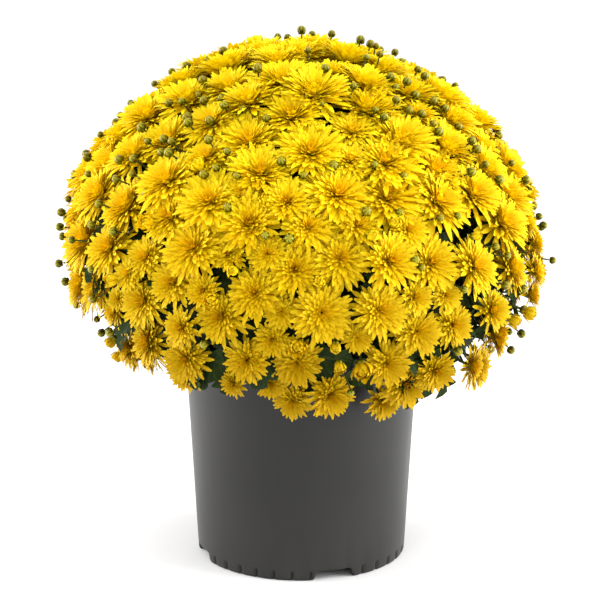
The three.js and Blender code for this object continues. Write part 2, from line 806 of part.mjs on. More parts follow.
function makeLeaf(root, direction, face, length) {
  const side = new THREE.Vector3().crossVectors(face, direction).normalize();
  const skin = new Skin();
  const at = (along, across, lift) => (
    offset(root, direction, length * along)
      .addScaledVector(side, across)
      .addScaledVector(face, lift));
  const ringAt = (along, top, low) => (
    [at(along, 0, top), at(along, -1, low), at(along, 1, low)].map((spot) => skin.point(spot)));
  const foot = ringAt(0, 1, -LEAF_THICKNESS / 2);
  skin.face(foot[0], foot[2], foot[1]);
  const neck = ringAt(LEAF_NECK, LEAF_THICKNESS / 2, 0);
  foot.forEach((id, place) => {
    const next = (place + 1) % 3;
    skin.face(id, foot[next], neck[next]);
    skin.face(id, neck[next], neck[place]);
  });
  const half = LEAF_WIDTH / 2 * length / LEAF_LENGTH;
  const edge = (way) => LEAF_OUTLINE.map(([along, across]) => (
    skin.point(at(along, way * across * half, -LEAF_SAG * across))));
  const rim = [neck[1], ...edge(-1), ...edge(1).reverse(), neck[2]];
  const crest = skin.point(at(LEAF_CREST, 0, LEAF_THICKNESS / 2));
  const keel = skin.point(at(LEAF_CREST, 0, -LEAF_THICKNESS / 2));
  for (let step = 1; step < rim.length; step += 1) {
    skin.face(rim[step - 1], rim[step], crest);
    skin.face(rim[step], rim[step - 1], keel);
  }
  skin.face(neck[0], neck[1], crest);
  skin.face(neck[2], neck[0], crest);
  skin.face(neck[1], neck[2], keel);
  return skin;
}

// A curve from a fork to a place, arriving along a given direction
function branchPoints(from, leaving, to, arriving, steps) {
  const reach = from.distanceTo(to) * 0.4;
  const curve = new THREE.CubicBezierCurve3(
    from, offset(from, leaving, reach), offset(to, arriving, -reach), to);
  return curve.getPoints(steps);
}

// The nearest point of a line of points to a place
function nearestOn(lines, place) {
  let best = null;
  lines.forEach((line) => {
    for (let step = 1; step < line.length; step += 1) {
      const spot = new THREE.Line3(line[step - 1], line[step]).closestPointToPoint(
        place, true, new THREE.Vector3());
      if (!best || spot.distanceTo(place) < best.distanceTo(place)) {
        best = spot;
      }
    }
  });
  return best;
}

// Whether a solid stays clear of others by the gap that touching pieces keep
function isClear(solid, others) {
  const box = solid.boundingBox();
  return others.every((other) => {
    const apart = [0, 1, 2].some((way) => (
      box.min[way] > other.box.max[way] + 1 || box.max[way] < other.box.min[way] - 1));
    return apart || solid.minGap(other.solid, 1) > TOUCH_GAP;
  });
}

function obstacle(solid) {
  return { solid, box: solid.boundingBox() };
}

// A branch grown from a facet along a list of points, closed square to its last direction
function growBranch(skin, root, points, arriving) {
  let ring = root;
  points.forEach((place, step) => {
    const isLast = step === points.length - 1;
    const axis = isLast ? arriving : points[step + 1].clone().sub(place).normalize();
    ring = stalkEnd(skin, ring, place, axis, BRANCH_RADIUS).map((spot) => spot.id);
  });
  skin.face(...ring);
}

// Carries a ring down to another middle, square to an axis there
function carryDown(skin, ring, from, to, axis, radius) {
  const next = ring.map((id) => {
    const out = skin.points[id].clone().sub(from);
    out.addScaledVector(axis, -out.dot(axis)).normalize();
    return skin.point(offset(to, out, radius));
  });
  ring.forEach((id, place) => {
    const other = (place + 1) % ring.length;
    skin.face(id, next[place], next[other]);
    skin.face(id, next[other], ring[other]);
  });
  return next;
}

// A stem's trunk in the soil and its branches, each along one of the lines and square to a cluster's axis
function growTrunk(foot, fork, lines, clusters) {
  const skin = new Skin();
  const axis = new THREE.Vector3();
  lines.forEach((line) => axis.add(line[1].clone().sub(fork).normalize()));
  axis.normalize();
  const members = lines.map((line, place) => ({
    aim: line[1],
    grow: (root) => growBranch(skin, root, line.slice(1), clusters[place].axis),
  }));
  const surface = foot.clone().setZ(SOIL_HEIGHT + TRUNK_STAND);
  const halfway = surface.clone().lerp(fork, TRUNK_BEND);
  const sunk = foot.clone().setZ(SOIL_HEIGHT - HOLE_DEPTH + TRUNK_GAP);
  const bend = axis.clone().add(UP).normalize();
  let ring = growCrown(skin, fork, axis, members, TRUNK_RADIUS);
  ring = carryDown(skin, ring, fork, halfway, bend, TRUNK_RADIUS);
  ring = carryDown(skin, ring, halfway, surface, UP, TRUNK_RADIUS);
  ring = carryDown(skin, ring, surface, sunk, UP, TRUNK_RADIUS);
  closeRing(skin, ring);
  return skin.solid();
}

// A green bud on a long stalk from a root inside a branch
function stalkedBud(root, bud) {
  const skin = new Skin();
  const { across, along } = frameOf(bud.elbow.clone().sub(root).normalize());
  const ring = [0, 1, 2].map((side) => {
    const angle = TURN * side / 3;
    const spot = offset(root, across, BUD_STALK_RADIUS * Math.cos(angle));
    return skin.point(spot.addScaledVector(along, BUD_STALK_RADIUS * Math.sin(angle)));
  });
  skin.face(ring[0], ring[2], ring[1]);
  growBud(skin, ring, bud);
  return skin.solid();
}

// One leaf at a drawn place along a branch, spread outwards and mostly hanging a little
function drawnLeaf(mark, line) {
  const root = new THREE.CatmullRomCurve3(line).getPoint(between(0.25, 0.95, mark, 21));
  const azimuth = Math.atan2(root.x, -root.y) + between(-1.3, 1.3, mark, 22);
  const direction = around(azimuth, 1, between(-0.93, 0.57, mark, 23)).normalize();
  const face = UP.clone().addScaledVector(direction, -direction.z).normalize();
  const side = new THREE.Vector3().crossVectors(direction, face);
  face.addScaledVector(side, between(-0.45, 0.45, mark, 24)).normalize();
  return makeLeaf(root, direction, face, LEAF_LENGTH * between(0.8, 1.15, mark, 25)).solid();
}

// A leafy stem: a trunk in the soil, a branch under each of its clusters, stalked green buds, and leaves
function makeStem(index, foot, fork, clusters, buds, obstacles) {
  const lines = clusters.map((cluster) => {
    const end = offset(cluster.hub, cluster.axis, -TOUCH_GAP);
    const leaving = end.clone().sub(fork).normalize();
    return branchPoints(fork, leaving, end, cluster.axis, BRANCH_STEPS);
  });
  let body = growTrunk(foot, fork, lines, clusters);
  if (index === 0) {
    body = body.add(makeThicket());
  }
  const inner = lines.map((line) => line.slice(0, -1));
  const budSolids = buds.map((bud) => stalkedBud(nearestOn(inner, bud.elbow), bud));
  budSolids.filter((solid) => isClear(solid, obstacles)).slice(0, BUDS_PER_STEM).forEach((solid) => {
    body = body.add(solid);
  });
  let leaves = 0;
  for (let attempt = 0; attempt < LEAF_TRIES && leaves < LEAVES_PER_STEM; attempt += 1) {
    const line = lines[1 + attempt % (lines.length - 1)];
    const solid = drawnLeaf(index * 97 + attempt, line);
    if (isClear(solid, obstacles)) {
      body = body.add(solid);
      obstacles.push(obstacle(solid));
      leaves += 1;
    }
  }
  return body;
}

// The dense leafy middle of the plant, which the middle stem's branches stand out of
function makeThicket() {
  const geometry = new THREE.IcosahedronGeometry(1, 1);
  const spots = geometry.attributes.position;
  for (let place = 0; place < spots.count; place += 1) {
    const way = new THREE.Vector3().fromBufferAttribute(spots, place);
    const mark = Math.round(way.dot(THICKET_GRAIN));
    way.multiplyScalar(between(1 - THICKET_RELIEF, 1, mark, 41));
    way.multiply(new THREE.Vector3(THICKET_RADIUS, THICKET_RADIUS, THICKET_RISE));
    spots.setXYZ(place, way.x, way.y, THICKET_HEIGHT + way.z);
  }
  return solidOf(geometry);
}

// A closed solid turned round the pot's middle line from [radius, height] points
function lathed(profile, sides) {
  const points = profile.map(([radius, height]) => new THREE.Vector2(radius, height));
  const geometry = new THREE.LatheGeometry(points, sides);
  geometry.rotateX(Math.PI / 2);
  return solidOf(geometry);
}

function solidOf(geometry) {
  geometry.deleteAttribute('normal');
  geometry.deleteAttribute('uv');
  const merged = mergeVertices(geometry, 1e-4);
  const vertProperties = new Float32Array(merged.attributes.position.array);
  const triVerts = new Uint32Array(merged.index.array);
  return new wasm.Manifold(new wasm.Mesh({ numProp: 3, vertProperties, triVerts }));
}

function boxSolid(size, place, azimuth) {
  const geometry = new THREE.BoxGeometry(...size);
  geometry.rotateZ(azimuth);
  geometry.translate(place.x, place.y, place.z);
  return solidOf(geometry);
}

// The pot's outer radius at a height
function potRadius(height) {
  return POT_FOOT_RADIUS + (POT_TOP_RADIUS - POT_FOOT_RADIUS) * height / POT_HEIGHT;
}

// The pot: a tapered wall with a rolled rim, on a hollow foot that four notches break
function makePot() {
  const footInside = POT_FOOT_RADIUS - FOOT_WIDTH;
  const profile = [
    [0, FLOOR_HEIGHT],
    [footInside - 2, FLOOR_HEIGHT],
    [footInside, 0],
    [POT_FOOT_RADIUS - 1, 0],
    [potRadius(2.5), 2.5],
    [potRadius(POT_HEIGHT - RIM_DEPTH), POT_HEIGHT - RIM_DEPTH],
    [POT_TOP_RADIUS + RIM_REACH, POT_HEIGHT - RIM_DEPTH + 2],
    [POT_TOP_RADIUS + RIM_REACH, POT_HEIGHT],
    [POT_TOP_RADIUS - WALL, POT_HEIGHT],
    [potRadius(FLOOR_HEIGHT) - WALL, FLOOR_HEIGHT],
    [POT_FOOT_RADIUS - WALL - 0.4, WALL],
    [footInside + WALL - 0.4, WALL],
    [footInside, FLOOR_HEIGHT + WALL],
    [0, FLOOR_HEIGHT + WALL],
  ];
  let pot = lathed(profile, POT_SIDES);
  for (let notch = 0; notch < NOTCH_COUNT; notch += 1) {
    const azimuth = radians(FIRST_NOTCH_AZIMUTH + 360 * notch / NOTCH_COUNT);
    const place = around(azimuth, POT_FOOT_RADIUS, 0);
    const size = [NOTCH_WIDTH, 4 * FOOT_WIDTH, 2 * NOTCH_HEIGHT];
    pot = pot.subtract(boxSolid(size, place, azimuth));
  }
  return pot;
}

// The potting mix: it fills the pot above the floor, with a lumpy top and a hole for each stem
function makeSoil(feet) {
  const bottom = FLOOR_HEIGHT + WALL + SOIL_GAP;
  const skin = new Skin();
  const edge = (height) => (potRadius(height) - WALL) * Math.cos(Math.PI / SOIL_SIDES) - SOIL_GAP - 1;
  const tops = [edge(SOIL_HEIGHT), 72, 34].map((radius) => [radius, SOIL_HEIGHT]);
  const rings = [[edge(bottom), bottom], ...tops];
  const rows = rings.map(([radius, height], level) => {
    const row = [];
    for (let side = 0; side < SOIL_SIDES; side += 1) {
      const angle = TURN * side / SOIL_SIDES;
      const lump = level > 0 ? between(-SOIL_RELIEF, SOIL_RELIEF, side + level * 50, 31) / 2 : 0;
      row.push({ id: skin.point(around(angle, radius, height + lump)), angle });
    }
    return row;
  });
  const under = skin.point(new THREE.Vector3(0, 0, bottom));
  const over = skin.point(new THREE.Vector3(0, 0, SOIL_HEIGHT + SOIL_RELIEF));
  for (let level = 1; level < rows.length; level += 1) {
    skin.bridge(rows[level - 1], rows[level]);
  }
  rows[0].forEach((spot, side) => {
    const next = (side + 1) % SOIL_SIDES;
    skin.face(rows[0][next].id, spot.id, under);
    skin.face(rows[3][side].id, rows[3][next].id, over);
  });
  let soil = skin.solid();
  const radius = (TRUNK_RADIUS + HOLE_GAP) / Math.cos(Math.PI / HOLE_SIDES);
  feet.forEach((foot) => {
    const hole = new THREE.CylinderGeometry(radius, radius, 2 * HOLE_DEPTH, HOLE_SIDES);
    hole.rotateX(Math.PI / 2);
    hole.translate(foot.x, foot.y, SOIL_HEIGHT);
    soil = soil.subtract(solidOf(hole));
  });
  return soil;
}

function meshOf(name, solid, look) {
  const { vertProperties, triVerts } = solid.getMesh();
  const geometry = new THREE.BufferGeometry();
  geometry.setAttribute('position', new THREE.BufferAttribute(new Float32Array(vertProperties), 3));
  geometry.setIndex(new THREE.BufferAttribute(new Uint32Array(triVerts), 1));
  geometry.computeVertexNormals();
  const material = new THREE.MeshStandardMaterial({ flatShading: true, metalness: 0, ...look });
  const mesh = new THREE.Mesh(geometry, material);
  mesh.name = name;
  return mesh;
}

const POT_LOOK = { color: 0x3f3f3c, roughness: 0.5 };
const SOIL_LOOK = { color: 0x2b1d14, roughness: 0.95 };
const PETAL_LOOK = { color: 0xf2c20c, roughness: 0.6 };
const LEAF_LOOK = { color: 0x33451f, roughness: 0.6 };

const blooms = placeBlooms();
const buds = placeBuds(blooms);
setWalls([...blooms, ...buds]);
const clusters = gatherClusters(blooms);
joinYellowBuds(clusters, buds);

const plant = new THREE.Group();
const pot = makePot();
plant.add(meshOf('pot', pot, POT_LOOK));

const feet = [new THREE.Vector3(0, 0, SOIL_HEIGHT)];
for (let sector = 0; sector < SECTORS; sector += 1) {
  feet.push(around(radians(360 * sector / SECTORS), TRUNK_RING, SOIL_HEIGHT));
}
const soil = makeSoil(feet);
plant.add(meshOf('potting_mix', soil, SOIL_LOOK));

const obstacles = [obstacle(pot), obstacle(soil)];
clusters.forEach((cluster) => {
  const solid = makeCluster(cluster).solid();
  obstacles.push(obstacle(solid));
  const name = `flower_cluster_row_${cluster.level}_${cluster.place + 1}`;
  plant.add(meshOf(name, solid, PETAL_LOOK));
});

// The middle stem carries the two top rows, and each outer stem one cluster of each lower row
const greenBuds = buds.filter((bud) => bud.kind === 'green');
feet.forEach((foot, index) => {
  const isMiddle = index === 0;
  const azimuth = radians(360 * (index - 1) / SECTORS);
  const fork = isMiddle
    ? new THREE.Vector3(0, 0, MIDDLE_FORK_HEIGHT)
    : around(azimuth, FORK_RING, FORK_HEIGHT);
  const mine = clusters.filter((cluster) => (
    isMiddle ? cluster.level < 2 : cluster.level >= 2 && cluster.place === index - 1));
  const near = greenBuds.filter((bud) => mine.includes(nearestCluster(clusters, bud.elbow)));
  const solid = makeStem(index, foot, fork, mine, near, obstacles);
  obstacles.push(obstacle(solid));
  plant.add(meshOf(`leafy_stem_${index}`, solid, LEAF_LOOK));
});

export default plant;
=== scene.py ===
import math
from types import SimpleNamespace

import bpy
import numpy as np
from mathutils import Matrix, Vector
from numpy.linalg import norm


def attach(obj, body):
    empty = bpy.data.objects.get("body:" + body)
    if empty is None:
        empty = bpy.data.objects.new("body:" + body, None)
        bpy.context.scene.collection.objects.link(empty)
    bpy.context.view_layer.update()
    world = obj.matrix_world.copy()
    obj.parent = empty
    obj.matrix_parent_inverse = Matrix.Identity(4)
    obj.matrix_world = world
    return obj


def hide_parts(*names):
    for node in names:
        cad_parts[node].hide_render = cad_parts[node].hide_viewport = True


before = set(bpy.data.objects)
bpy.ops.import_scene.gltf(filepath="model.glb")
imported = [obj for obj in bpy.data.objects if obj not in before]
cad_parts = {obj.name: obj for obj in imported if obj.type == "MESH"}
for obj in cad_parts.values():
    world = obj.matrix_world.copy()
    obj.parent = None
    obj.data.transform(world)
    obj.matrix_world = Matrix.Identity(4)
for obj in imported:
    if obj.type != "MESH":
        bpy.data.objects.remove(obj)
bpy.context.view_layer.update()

# A garden chrysanthemum in full flower, in a plain nursery pot.
# Sizes are in millimetres and become metres when a mesh is made. The front is towards -Y.
# Azimuths turn from the front towards +X. Places follow the rules and draws of the part's source.

# Pot
POT_HEIGHT = 215
POT_TOP_RADIUS = 111
POT_FOOT_RADIUS = 99
WALL = 2
RIM_REACH = 4
RIM_DEPTH = 8
FLOOR_HEIGHT = 11
FOOT_WIDTH = 5
NOTCH_COUNT = 4
NOTCH_WIDTH = 36
NOTCH_HEIGHT = 9.5
NOTCH_CORNER = 2.2
FIRST_NOTCH_AZIMUTH = 18
DENT_COUNT = 36
DENT_WIDTH = 0.085
DENT_DEPTH = 1.9
DENT_TOP = 10.5
DENT_FADE = 2.5
DENT_FOOT = 2
DENT_FOOT_SHARE = 0.45
EDGE_SCALLOP = 0.7
SCALLOP_HEIGHT = 3
# the height of the painted contact shadow at the pot's foot
CONTACT_SHADE_HEIGHT = 2
POT_SIDES = 360

# Potting mix
SOIL_HEIGHT = 196
HOLE_DEPTH = 22
SOIL_SIDES = 120
SOIL_RINGS = (8, 104, 25)
SOIL_EDGE = 100
EDGE_DROP = 2
CRUMB_BASE = 1.5
CRUMB_RISE = 4

# The dome that the middles of the blooms lie on: two half ellipsoids, cut off below
DOME_MIDDLE = 297
DOME_RADIUS = 218
DOME_RISE = 191
DOME_DROP = 157
DOME_TOP_ANGLE = math.pi / 2
DOME_LOWEST_ANGLE = math.radians(-45)
DOME_BANDS = 400
SHOULDER_CUT = 10
LEAN = 6.5
LEAN_TOP = 340
LEAN_BOTTOM = 260

# Blooms
BLOOM_SPACE = 1850
LARGE_RADIUS = 28
SMALL_RADIUS = 20
SKIRT_SHARE = 0.82
SMALL_SHARE = 0.2
BLOOM_SIZES = (0.88, 1.08)
CUP_DEPTH = 10
SCATTER = 5
UPWARD_LEAN = 0.35
LOW_LEAN = 0.4
FACING_SCATTER = 0.175
BAND_SCATTER = 1.25
SIDE_SCATTER = 7
SKIRT_FULLNESS = 1.02
CROWN_FULLNESS = 1.3
CROWN_FACING = 0.5
FRONT_CROWDING = 0.55
CROWDING = 0.48

# Buds
BUD_TRIES = 900
BUD_RADIUS = 4.4
BUD_SIZES = (0.8, 1.15)
BUD_ROOM = 5.5
GREEN_STAND = 10
YELLOW_STAND = 6
STANDS = (0.6, 1.4)
BUD_FIRST_TURN = 1
BUD_STALK = 32
GREEN_SHARE = 0.76
BUD_BLOOM_SHARE = 0.6
BUD_SPACE = 14.3
FRONT_BUD_SPACE = 8.6
FRONT_BUD_TURN = 80
SETTLE_ROUNDS = 6

# Stems. A stalk's taper is its share of the radius at its root and at its head
STALK_RADIUS = 1.3
STALK_TAPERS = {"bloom": (1.15, 1.0), "yellow": (1.0, 0.7), "green": (0.9, 0.6)}
STALK_SIDES = 6
STALK_STEPS = 7
STALK_ARCH = 0.3
HUB_DEPTH = 48
GATHER_ROUNDS = 7
TRUNK = {"radius": 4.5, "taper": (1.0, 0.8), "sides": 10, "mark": 0.2}
TRUNK_STEPS = 8
BRANCH = {"radius": 2.4, "taper": (1.2, 0.8), "sides": 8, "mark": 0.4}
BRANCH_STEPS = 10
SECTORS = 10
TRUNK_RING = 50
FORK_RING = 68
FORK_HEIGHT = 238
MIDDLE_FORK_HEIGHT = 335

# Rows of flower clusters, from the top down: how many, the angle above level, and the first one's azimuth
CLUSTER_ROWS = [(1, 90, 0), (6, 62, 12), (SECTORS, 36, 0), (SECTORS, 8, 10), (SECTORS, -25, 0)]

# The blooms at the front, as seen from VIEW_DISTANCE away and VIEW_PITCH above level: millimetres across from
# the pot's middle line, up from VIEW_HEIGHT, and the diameter
VIEW_DISTANCE = 2000
VIEW_PITCH = math.radians(12.8)
VIEW_HEIGHT = 244
FRONT_BLOOMS = [
    (-6, -63, 47), (28, -93, 46), (79, -99, 40), (80, -58, 45), (127, -67, 42), (-53, -55, 44),
    (-111, -55, 47), (-153, -42, 51), (-115, -24, 39), (-79, -17, 53), (-43, 7, 52), (21, -11, 57),
    (77, -9, 54), (112, -32, 48), (149, -26, 43), (-19, -12, 33), (52, -36, 30), (-29, -38, 35),
    (-155, -1, 52), (-124, 17, 47), (-152, 42, 42), (-103, 52, 57), (-183, 52, 52), (-199, 14, 54),
    (-3, 30, 50), (42, 42, 54), (88, 38, 51), (131, 36, 52), (169, 34, 54), (206, 32, 52), (181, -8, 42),
    (162, -60, 36), (136, 99, 57), (86, 104, 57), (36, 106, 57), (-49, 75, 54), (-89, 97, 52),
    (-176, 95, 55), (-133, 119, 54), (-10, -99, 38), (-30, -81, 30), (-66, -78, 28),
]
# The half-hidden ones between them, in the same way
FRONT_FILLERS = [
    (9, 71, 43), (-30, 45, 34), (58, 74, 38), (106, 68, 34), (49, 140, 38), (107, 121, 32), (143, 4, 32),
    (-128, 83, 47), (-92, 9, 34), (-68, 45, 34), (-162, 26, 32), (-177, 0, 25), (-58, 104, 32),
    (113, 2, 36), (-166, -45, 38),
]
FILLER_INDEX = 400

# Openings at the front that only leaves and stalks fill, in the same view: across, up and radius
FRONT_OPENINGS = [
    (211, -21, 16), (-181, -26, 12.5), (-130, -84, 22), (128, -50, 22), (-30, -100, 22),
]

# Leaves that hang out of the dome's lower edge, in the same view: across and up
HANGING_LEAVES = [
    (-99, -72), (-87, -80), (-110, -64), (99, -80), (124, -78), (140, -70), (-176, -28), (112, -84),
    (154, -62), (146, -74), (132, -80),
]

# The buds at the front, in the same view: across and up
FRONT_GREEN_BUDS = [
    (-24, 251), (29, 250), (41, 245), (50, 237), (63, 234), (97, 225), (108, 214), (114, 209), (143, 207),
    (152, 205), (176, 170), (184, 160), (-142, 214), (-126, 216), (-109, 218), (-86, 227), (-103, 196),
    (-93, 189), (-83, 181), (-77, 193), (-99, 177), (-115, 194), (-167, 185), (-167, 142), (-157, 132),
    (-145, 151), (-133, 140), (-122, 149), (-128, 129), (-198, 111), (-222, 94), (-215, 98), (-224, 81),
    (-218, 68), (-222, 52), (-216, 36), (-171, -24), (-185, 5), (-47, 167), (-87, 150), (-81, 125),
    (-59, 109), (-65, 85), (18, 189), (49, 198), (83, 212), (90, 203), (98, 203), (69, 182), (78, 173),
    (101, 178), (113, 175), (123, 165), (129, 158), (150, 165), (155, 151), (69, 127), (100, 125),
    (32, 123), (163, 113), (219, 88), (228, 78), (180, 50), (188, 42), (107, 38), (118, 32), (186, 16),
    (143, -44), (44, -77), (-90, -38), (-8, 57), (-112, 186), (-120, 205), (-96, 205), (-88, 172),
    (-106, 166), (-134, 160), (-150, 162), (-161, 120), (-172, 112), (-180, 92), (-139, 112), (-92, 118),
    (-70, 140), (-54, 190), (-36, 214), (6, 232), (22, 214), (62, 218), (74, 226), (88, 186), (112, 192),
    (126, 190), (136, 182), (162, 140), (174, 128), (183, 112), (196, 128), (204, 108), (144, 84),
    (128, 76), (92, 88), (60, 80), (-20, 132), (2, 118), (-30, 60), (-176, 60), (-190, 70), (-204, 56),
    (-186, 30), (148, 8), (204, 12),
]
FRONT_YELLOW_BUDS = [
    (20, 18), (-82, 3), (-4, -40), (31, -42), (34, -58), (55, -60), (196, -17), (206, -8), (70, 60),
    (-140, 75), (-60, 28), (100, 70), (-100, 130), (10, 150), (140, 120), (-20, 95), (-170, 20), (165, 60),
]

TURN = 2 * math.pi
GOLDEN_TURN = TURN * (1 - 2 / (1 + math.sqrt(5)))
UP = np.array([0.0, 0.0, 1.0])
SIDEWAYS = np.array([1.0, 0.0, 0.0])
STEEP = 0.9


def draw(index, salt):
    """A repeatable draw between 0 and 1. Each use has a salt of its own."""
    value = math.sin(index * 12.9898 + salt * 78.233) * 43758.5453
    return value - math.floor(value)


def between(low, high, index, salt):
    return low + (high - low) * draw(index, salt)


def draws(indices, salt):
    """The same for many at once."""
    value = np.sin(indices * 12.9898 + salt * 78.233) * 43758.5453
    return value - np.floor(value)


def around(azimuth, radius, height):
    return np.array([radius * math.sin(azimuth), -radius * math.cos(azimuth), height])


def unit(vector):
    return vector / norm(vector)


def frame_of(axis):
    """Two directions square to a given one."""
    helper = UP if abs(axis[2]) < STEEP else SIDEWAYS
    across = unit(np.cross(helper, axis))
    return across, np.cross(axis, across)


# The dome and what stands on it


def dome_at(angle):
    """The dome at an angle above level: radius, height, and the normal's parts outward and up."""
    rise = DOME_RISE if angle >= 0 else DOME_DROP
    out = math.cos(angle) / DOME_RADIUS
    up = math.sin(angle) / rise
    length = math.hypot(out, up)
    return DOME_RADIUS * math.cos(angle), DOME_MIDDLE + rise * math.sin(angle), out / length, up / length


def band_angle(band):
    return DOME_TOP_ANGLE + (DOME_LOWEST_ANGLE - DOME_TOP_ANGLE) * band / DOME_BANDS


def dome_bands():
    """The dome's area above each of its bands."""
    bands = [0.0]
    last = dome_at(DOME_TOP_ANGLE)
    for band in range(1, DOME_BANDS + 1):
        following = dome_at(band_angle(band))
        slant = math.hypot(following[0] - last[0], following[1] - last[1])
        bands.append(bands[-1] + math.pi * (following[0] + last[0]) * slant)
        last = following
    return np.array(bands)


AREA_BANDS = dome_bands()
DOME_AREA = AREA_BANDS[-1]


def angle_for_share(share):
    """The angle above which a share of the dome's area lies."""
    return band_angle(np.interp(share * DOME_AREA, AREA_BANDS, np.arange(DOME_BANDS + 1)))


def clamp(value, low, high):
    return max(low, min(high, value))


def mix(low, high, share):
    return low + (high - low) * share


def lean_at(height):
    """How far the plant hangs over to +X at a height."""
    return LEAN * clamp((LEAN_TOP - height) / (LEAN_TOP - LEAN_BOTTOM), 0, 1)


def dome_place(azimuth, angle, lift):
    """A place on or off the dome, and the normal there."""
    radius, height, out, up = dome_at(angle)
    normal = around(azimuth, out, up)
    cut = SHOULDER_CUT * max(0, math.sin(2 * angle))
    point = around(azimuth, radius, height) + normal * (lift - cut)
    point[0] += lean_at(point[2])
    return point, normal


def place_from_view(across, up):
    """The azimuth and angle that show at a point of the front view."""
    eye = np.array([0, -math.cos(VIEW_PITCH), math.sin(VIEW_PITCH)]) * VIEW_DISTANCE + UP * VIEW_HEIGHT
    height = VIEW_HEIGHT + up * math.cos(VIEW_PITCH)
    seen = np.array([across - lean_at(height), up * math.sin(VIEW_PITCH), height])
    ray = unit(seen - eye)
    place = (0, 0)
    for rise in (DOME_DROP, DOME_RISE):
        stretch = DOME_RADIUS / rise
        start = np.array([eye[0], eye[1], (eye[2] - DOME_MIDDLE) * stretch])
        along = np.array([ray[0], ray[1], ray[2] * stretch])
        length = along @ along
        slope = start @ along
        excess = start @ start - DOME_RADIUS * DOME_RADIUS
        hit = start + along * ((-slope - math.sqrt(max(0, slope * slope - length * excess))) / length)
        if (rise == DOME_RISE) == (hit[2] >= 0):
            place = math.atan2(hit[0], -hit[1]), math.asin(clamp(hit[2] / DOME_RADIUS, -1, 1))
    return place


def view_of(place):
    """Where a place shows in the front view: across and up."""
    height = place[2] - VIEW_HEIGHT
    cos, sin = math.cos(VIEW_PITCH), math.sin(VIEW_PITCH)
    scale = VIEW_DISTANCE / (VIEW_DISTANCE + place[1] * cos - height * sin)
    return place[0] * scale, (place[1] * sin + height * cos) * scale


def make_bloom(azimuth, angle, radius, index):
    point, normal = dome_place(azimuth, angle, between(-SCATTER, SCATTER, index, 3))
    facing = normal + UP * (UPWARD_LEAN + LOW_LEAN * max(0, -normal[2]))
    facing[0] += between(-FACING_SCATTER, FACING_SCATTER, index, 4)
    facing[1] += between(-FACING_SCATTER, FACING_SCATTER, index, 5)
    cup = CUP_DEPTH * radius / LARGE_RADIUS
    return SimpleNamespace(kind="bloom", point=point, normal=normal, facing=unit(facing),
                           radius=radius, cup=cup, index=index)


def place_blooms():
    """First the blooms at the front, then a spiral over the dome wherever there is room."""
    blooms = []
    for place, (*seen, diameter) in enumerate(FRONT_BLOOMS + FRONT_FILLERS):
        index = place if place < len(FRONT_BLOOMS) else FILLER_INDEX + place
        blooms.append(make_bloom(*place_from_view(*seen), diameter / 2, index))
    front_count = len(blooms)
    count = round(DOME_AREA / BLOOM_SPACE)
    for step in range(count):
        index = len(FRONT_BLOOMS) + step
        share = (step + 0.5 + between(-BAND_SCATTER, BAND_SCATTER, index, 1)) / count
        angle = angle_for_share(clamp(share, 0, 1))
        reach = max(2 * SMALL_RADIUS, dome_at(angle)[0])
        azimuth = step * GOLDEN_TURN + between(-SIDE_SCATTER, SIDE_SCATTER, index, 2) / reach
        size = SMALL_RADIUS if draw(index, 6) < SMALL_SHARE else LARGE_RADIUS
        size *= min(1, mix(1, SKIRT_SHARE, angle / DOME_LOWEST_ANGLE))
        bloom = make_bloom(azimuth, angle, size * between(*BLOOM_SIZES, index, 7), index)
        crowded = False
        for place, other in enumerate(blooms):
            crowding = FRONT_CROWDING if place < front_count else CROWDING
            gap = norm(other.point - bloom.point)
            crowded = crowded or gap < crowding * (other.radius + bloom.radius)
        seen = view_of(bloom.point)
        opened = bloom.point[1] < 0 and any(
            math.hypot(seen[0] - across, seen[1] - up) < reach for across, up, reach in FRONT_OPENINGS)
        if not crowded and not opened:
            blooms.append(bloom)
    return blooms


def make_bud(kind, place, normal, index):
    return SimpleNamespace(kind=kind, point=place, facing=normal, normal=normal,
                           elbow=place - normal * BUD_STALK,
                           size=BUD_RADIUS * between(*BUD_SIZES, index, 13), index=index)


def bud_stand(kind, index):
    return (GREEN_STAND if kind == "green" else YELLOW_STAND) * between(*STANDS, index, 12)


def settle(point, normal, middles, rooms):
    """Moves a place along the dome, out of the middles of the blooms."""
    for _ in range(SETTLE_ROUNDS):
        for middle, room in zip(middles, rooms):
            away = point - middle
            lack = room - norm(away)
            if lack > 0:
                point = point + unit(away - normal * (away @ normal)) * lack
    return point


def place_buds(blooms):
    """First the buds at the front, then wherever the blooms leave a gap elsewhere."""
    middles = np.array([bloom.point for bloom in blooms])
    rooms = np.array([bloom.radius for bloom in blooms]) * BUD_BLOOM_SHARE + BUD_ROOM
    buds = []

    def add_clear(bud, space):
        if all(norm(other.point - bud.point) > space for other in buds):
            buds.append(bud)

    front = [("yellow", seen) for seen in FRONT_YELLOW_BUDS] + [("green", seen) for seen in FRONT_GREEN_BUDS]
    for place, (kind, seen) in enumerate(front):
        index = BUD_TRIES + place
        point, normal = dome_place(*place_from_view(*seen), bud_stand(kind, index))
        add_clear(make_bud(kind, settle(point, normal, middles, rooms), normal, index), FRONT_BUD_SPACE)
    for step in range(BUD_TRIES):
        angle = angle_for_share((step + 0.5) / BUD_TRIES)
        azimuth = step * GOLDEN_TURN + BUD_FIRST_TURN
        kind = "green" if draw(step, 11) < GREEN_SHARE else "yellow"
        point, normal = dome_place(azimuth, angle, bud_stand(kind, step))
        near_bloom = np.any(norm(middles - point, axis=1) < rooms)
        turn = abs((azimuth + math.pi) % TURN - math.pi)
        if not near_bloom and turn >= math.radians(FRONT_BUD_TURN):
            add_clear(make_bud(kind, point, normal, step), BUD_SPACE)
    return buds


def nearest_cluster(clusters, point):
    gaps = [norm(cluster.hub - point) for cluster in clusters]
    return clusters[int(np.argmin(gaps))]


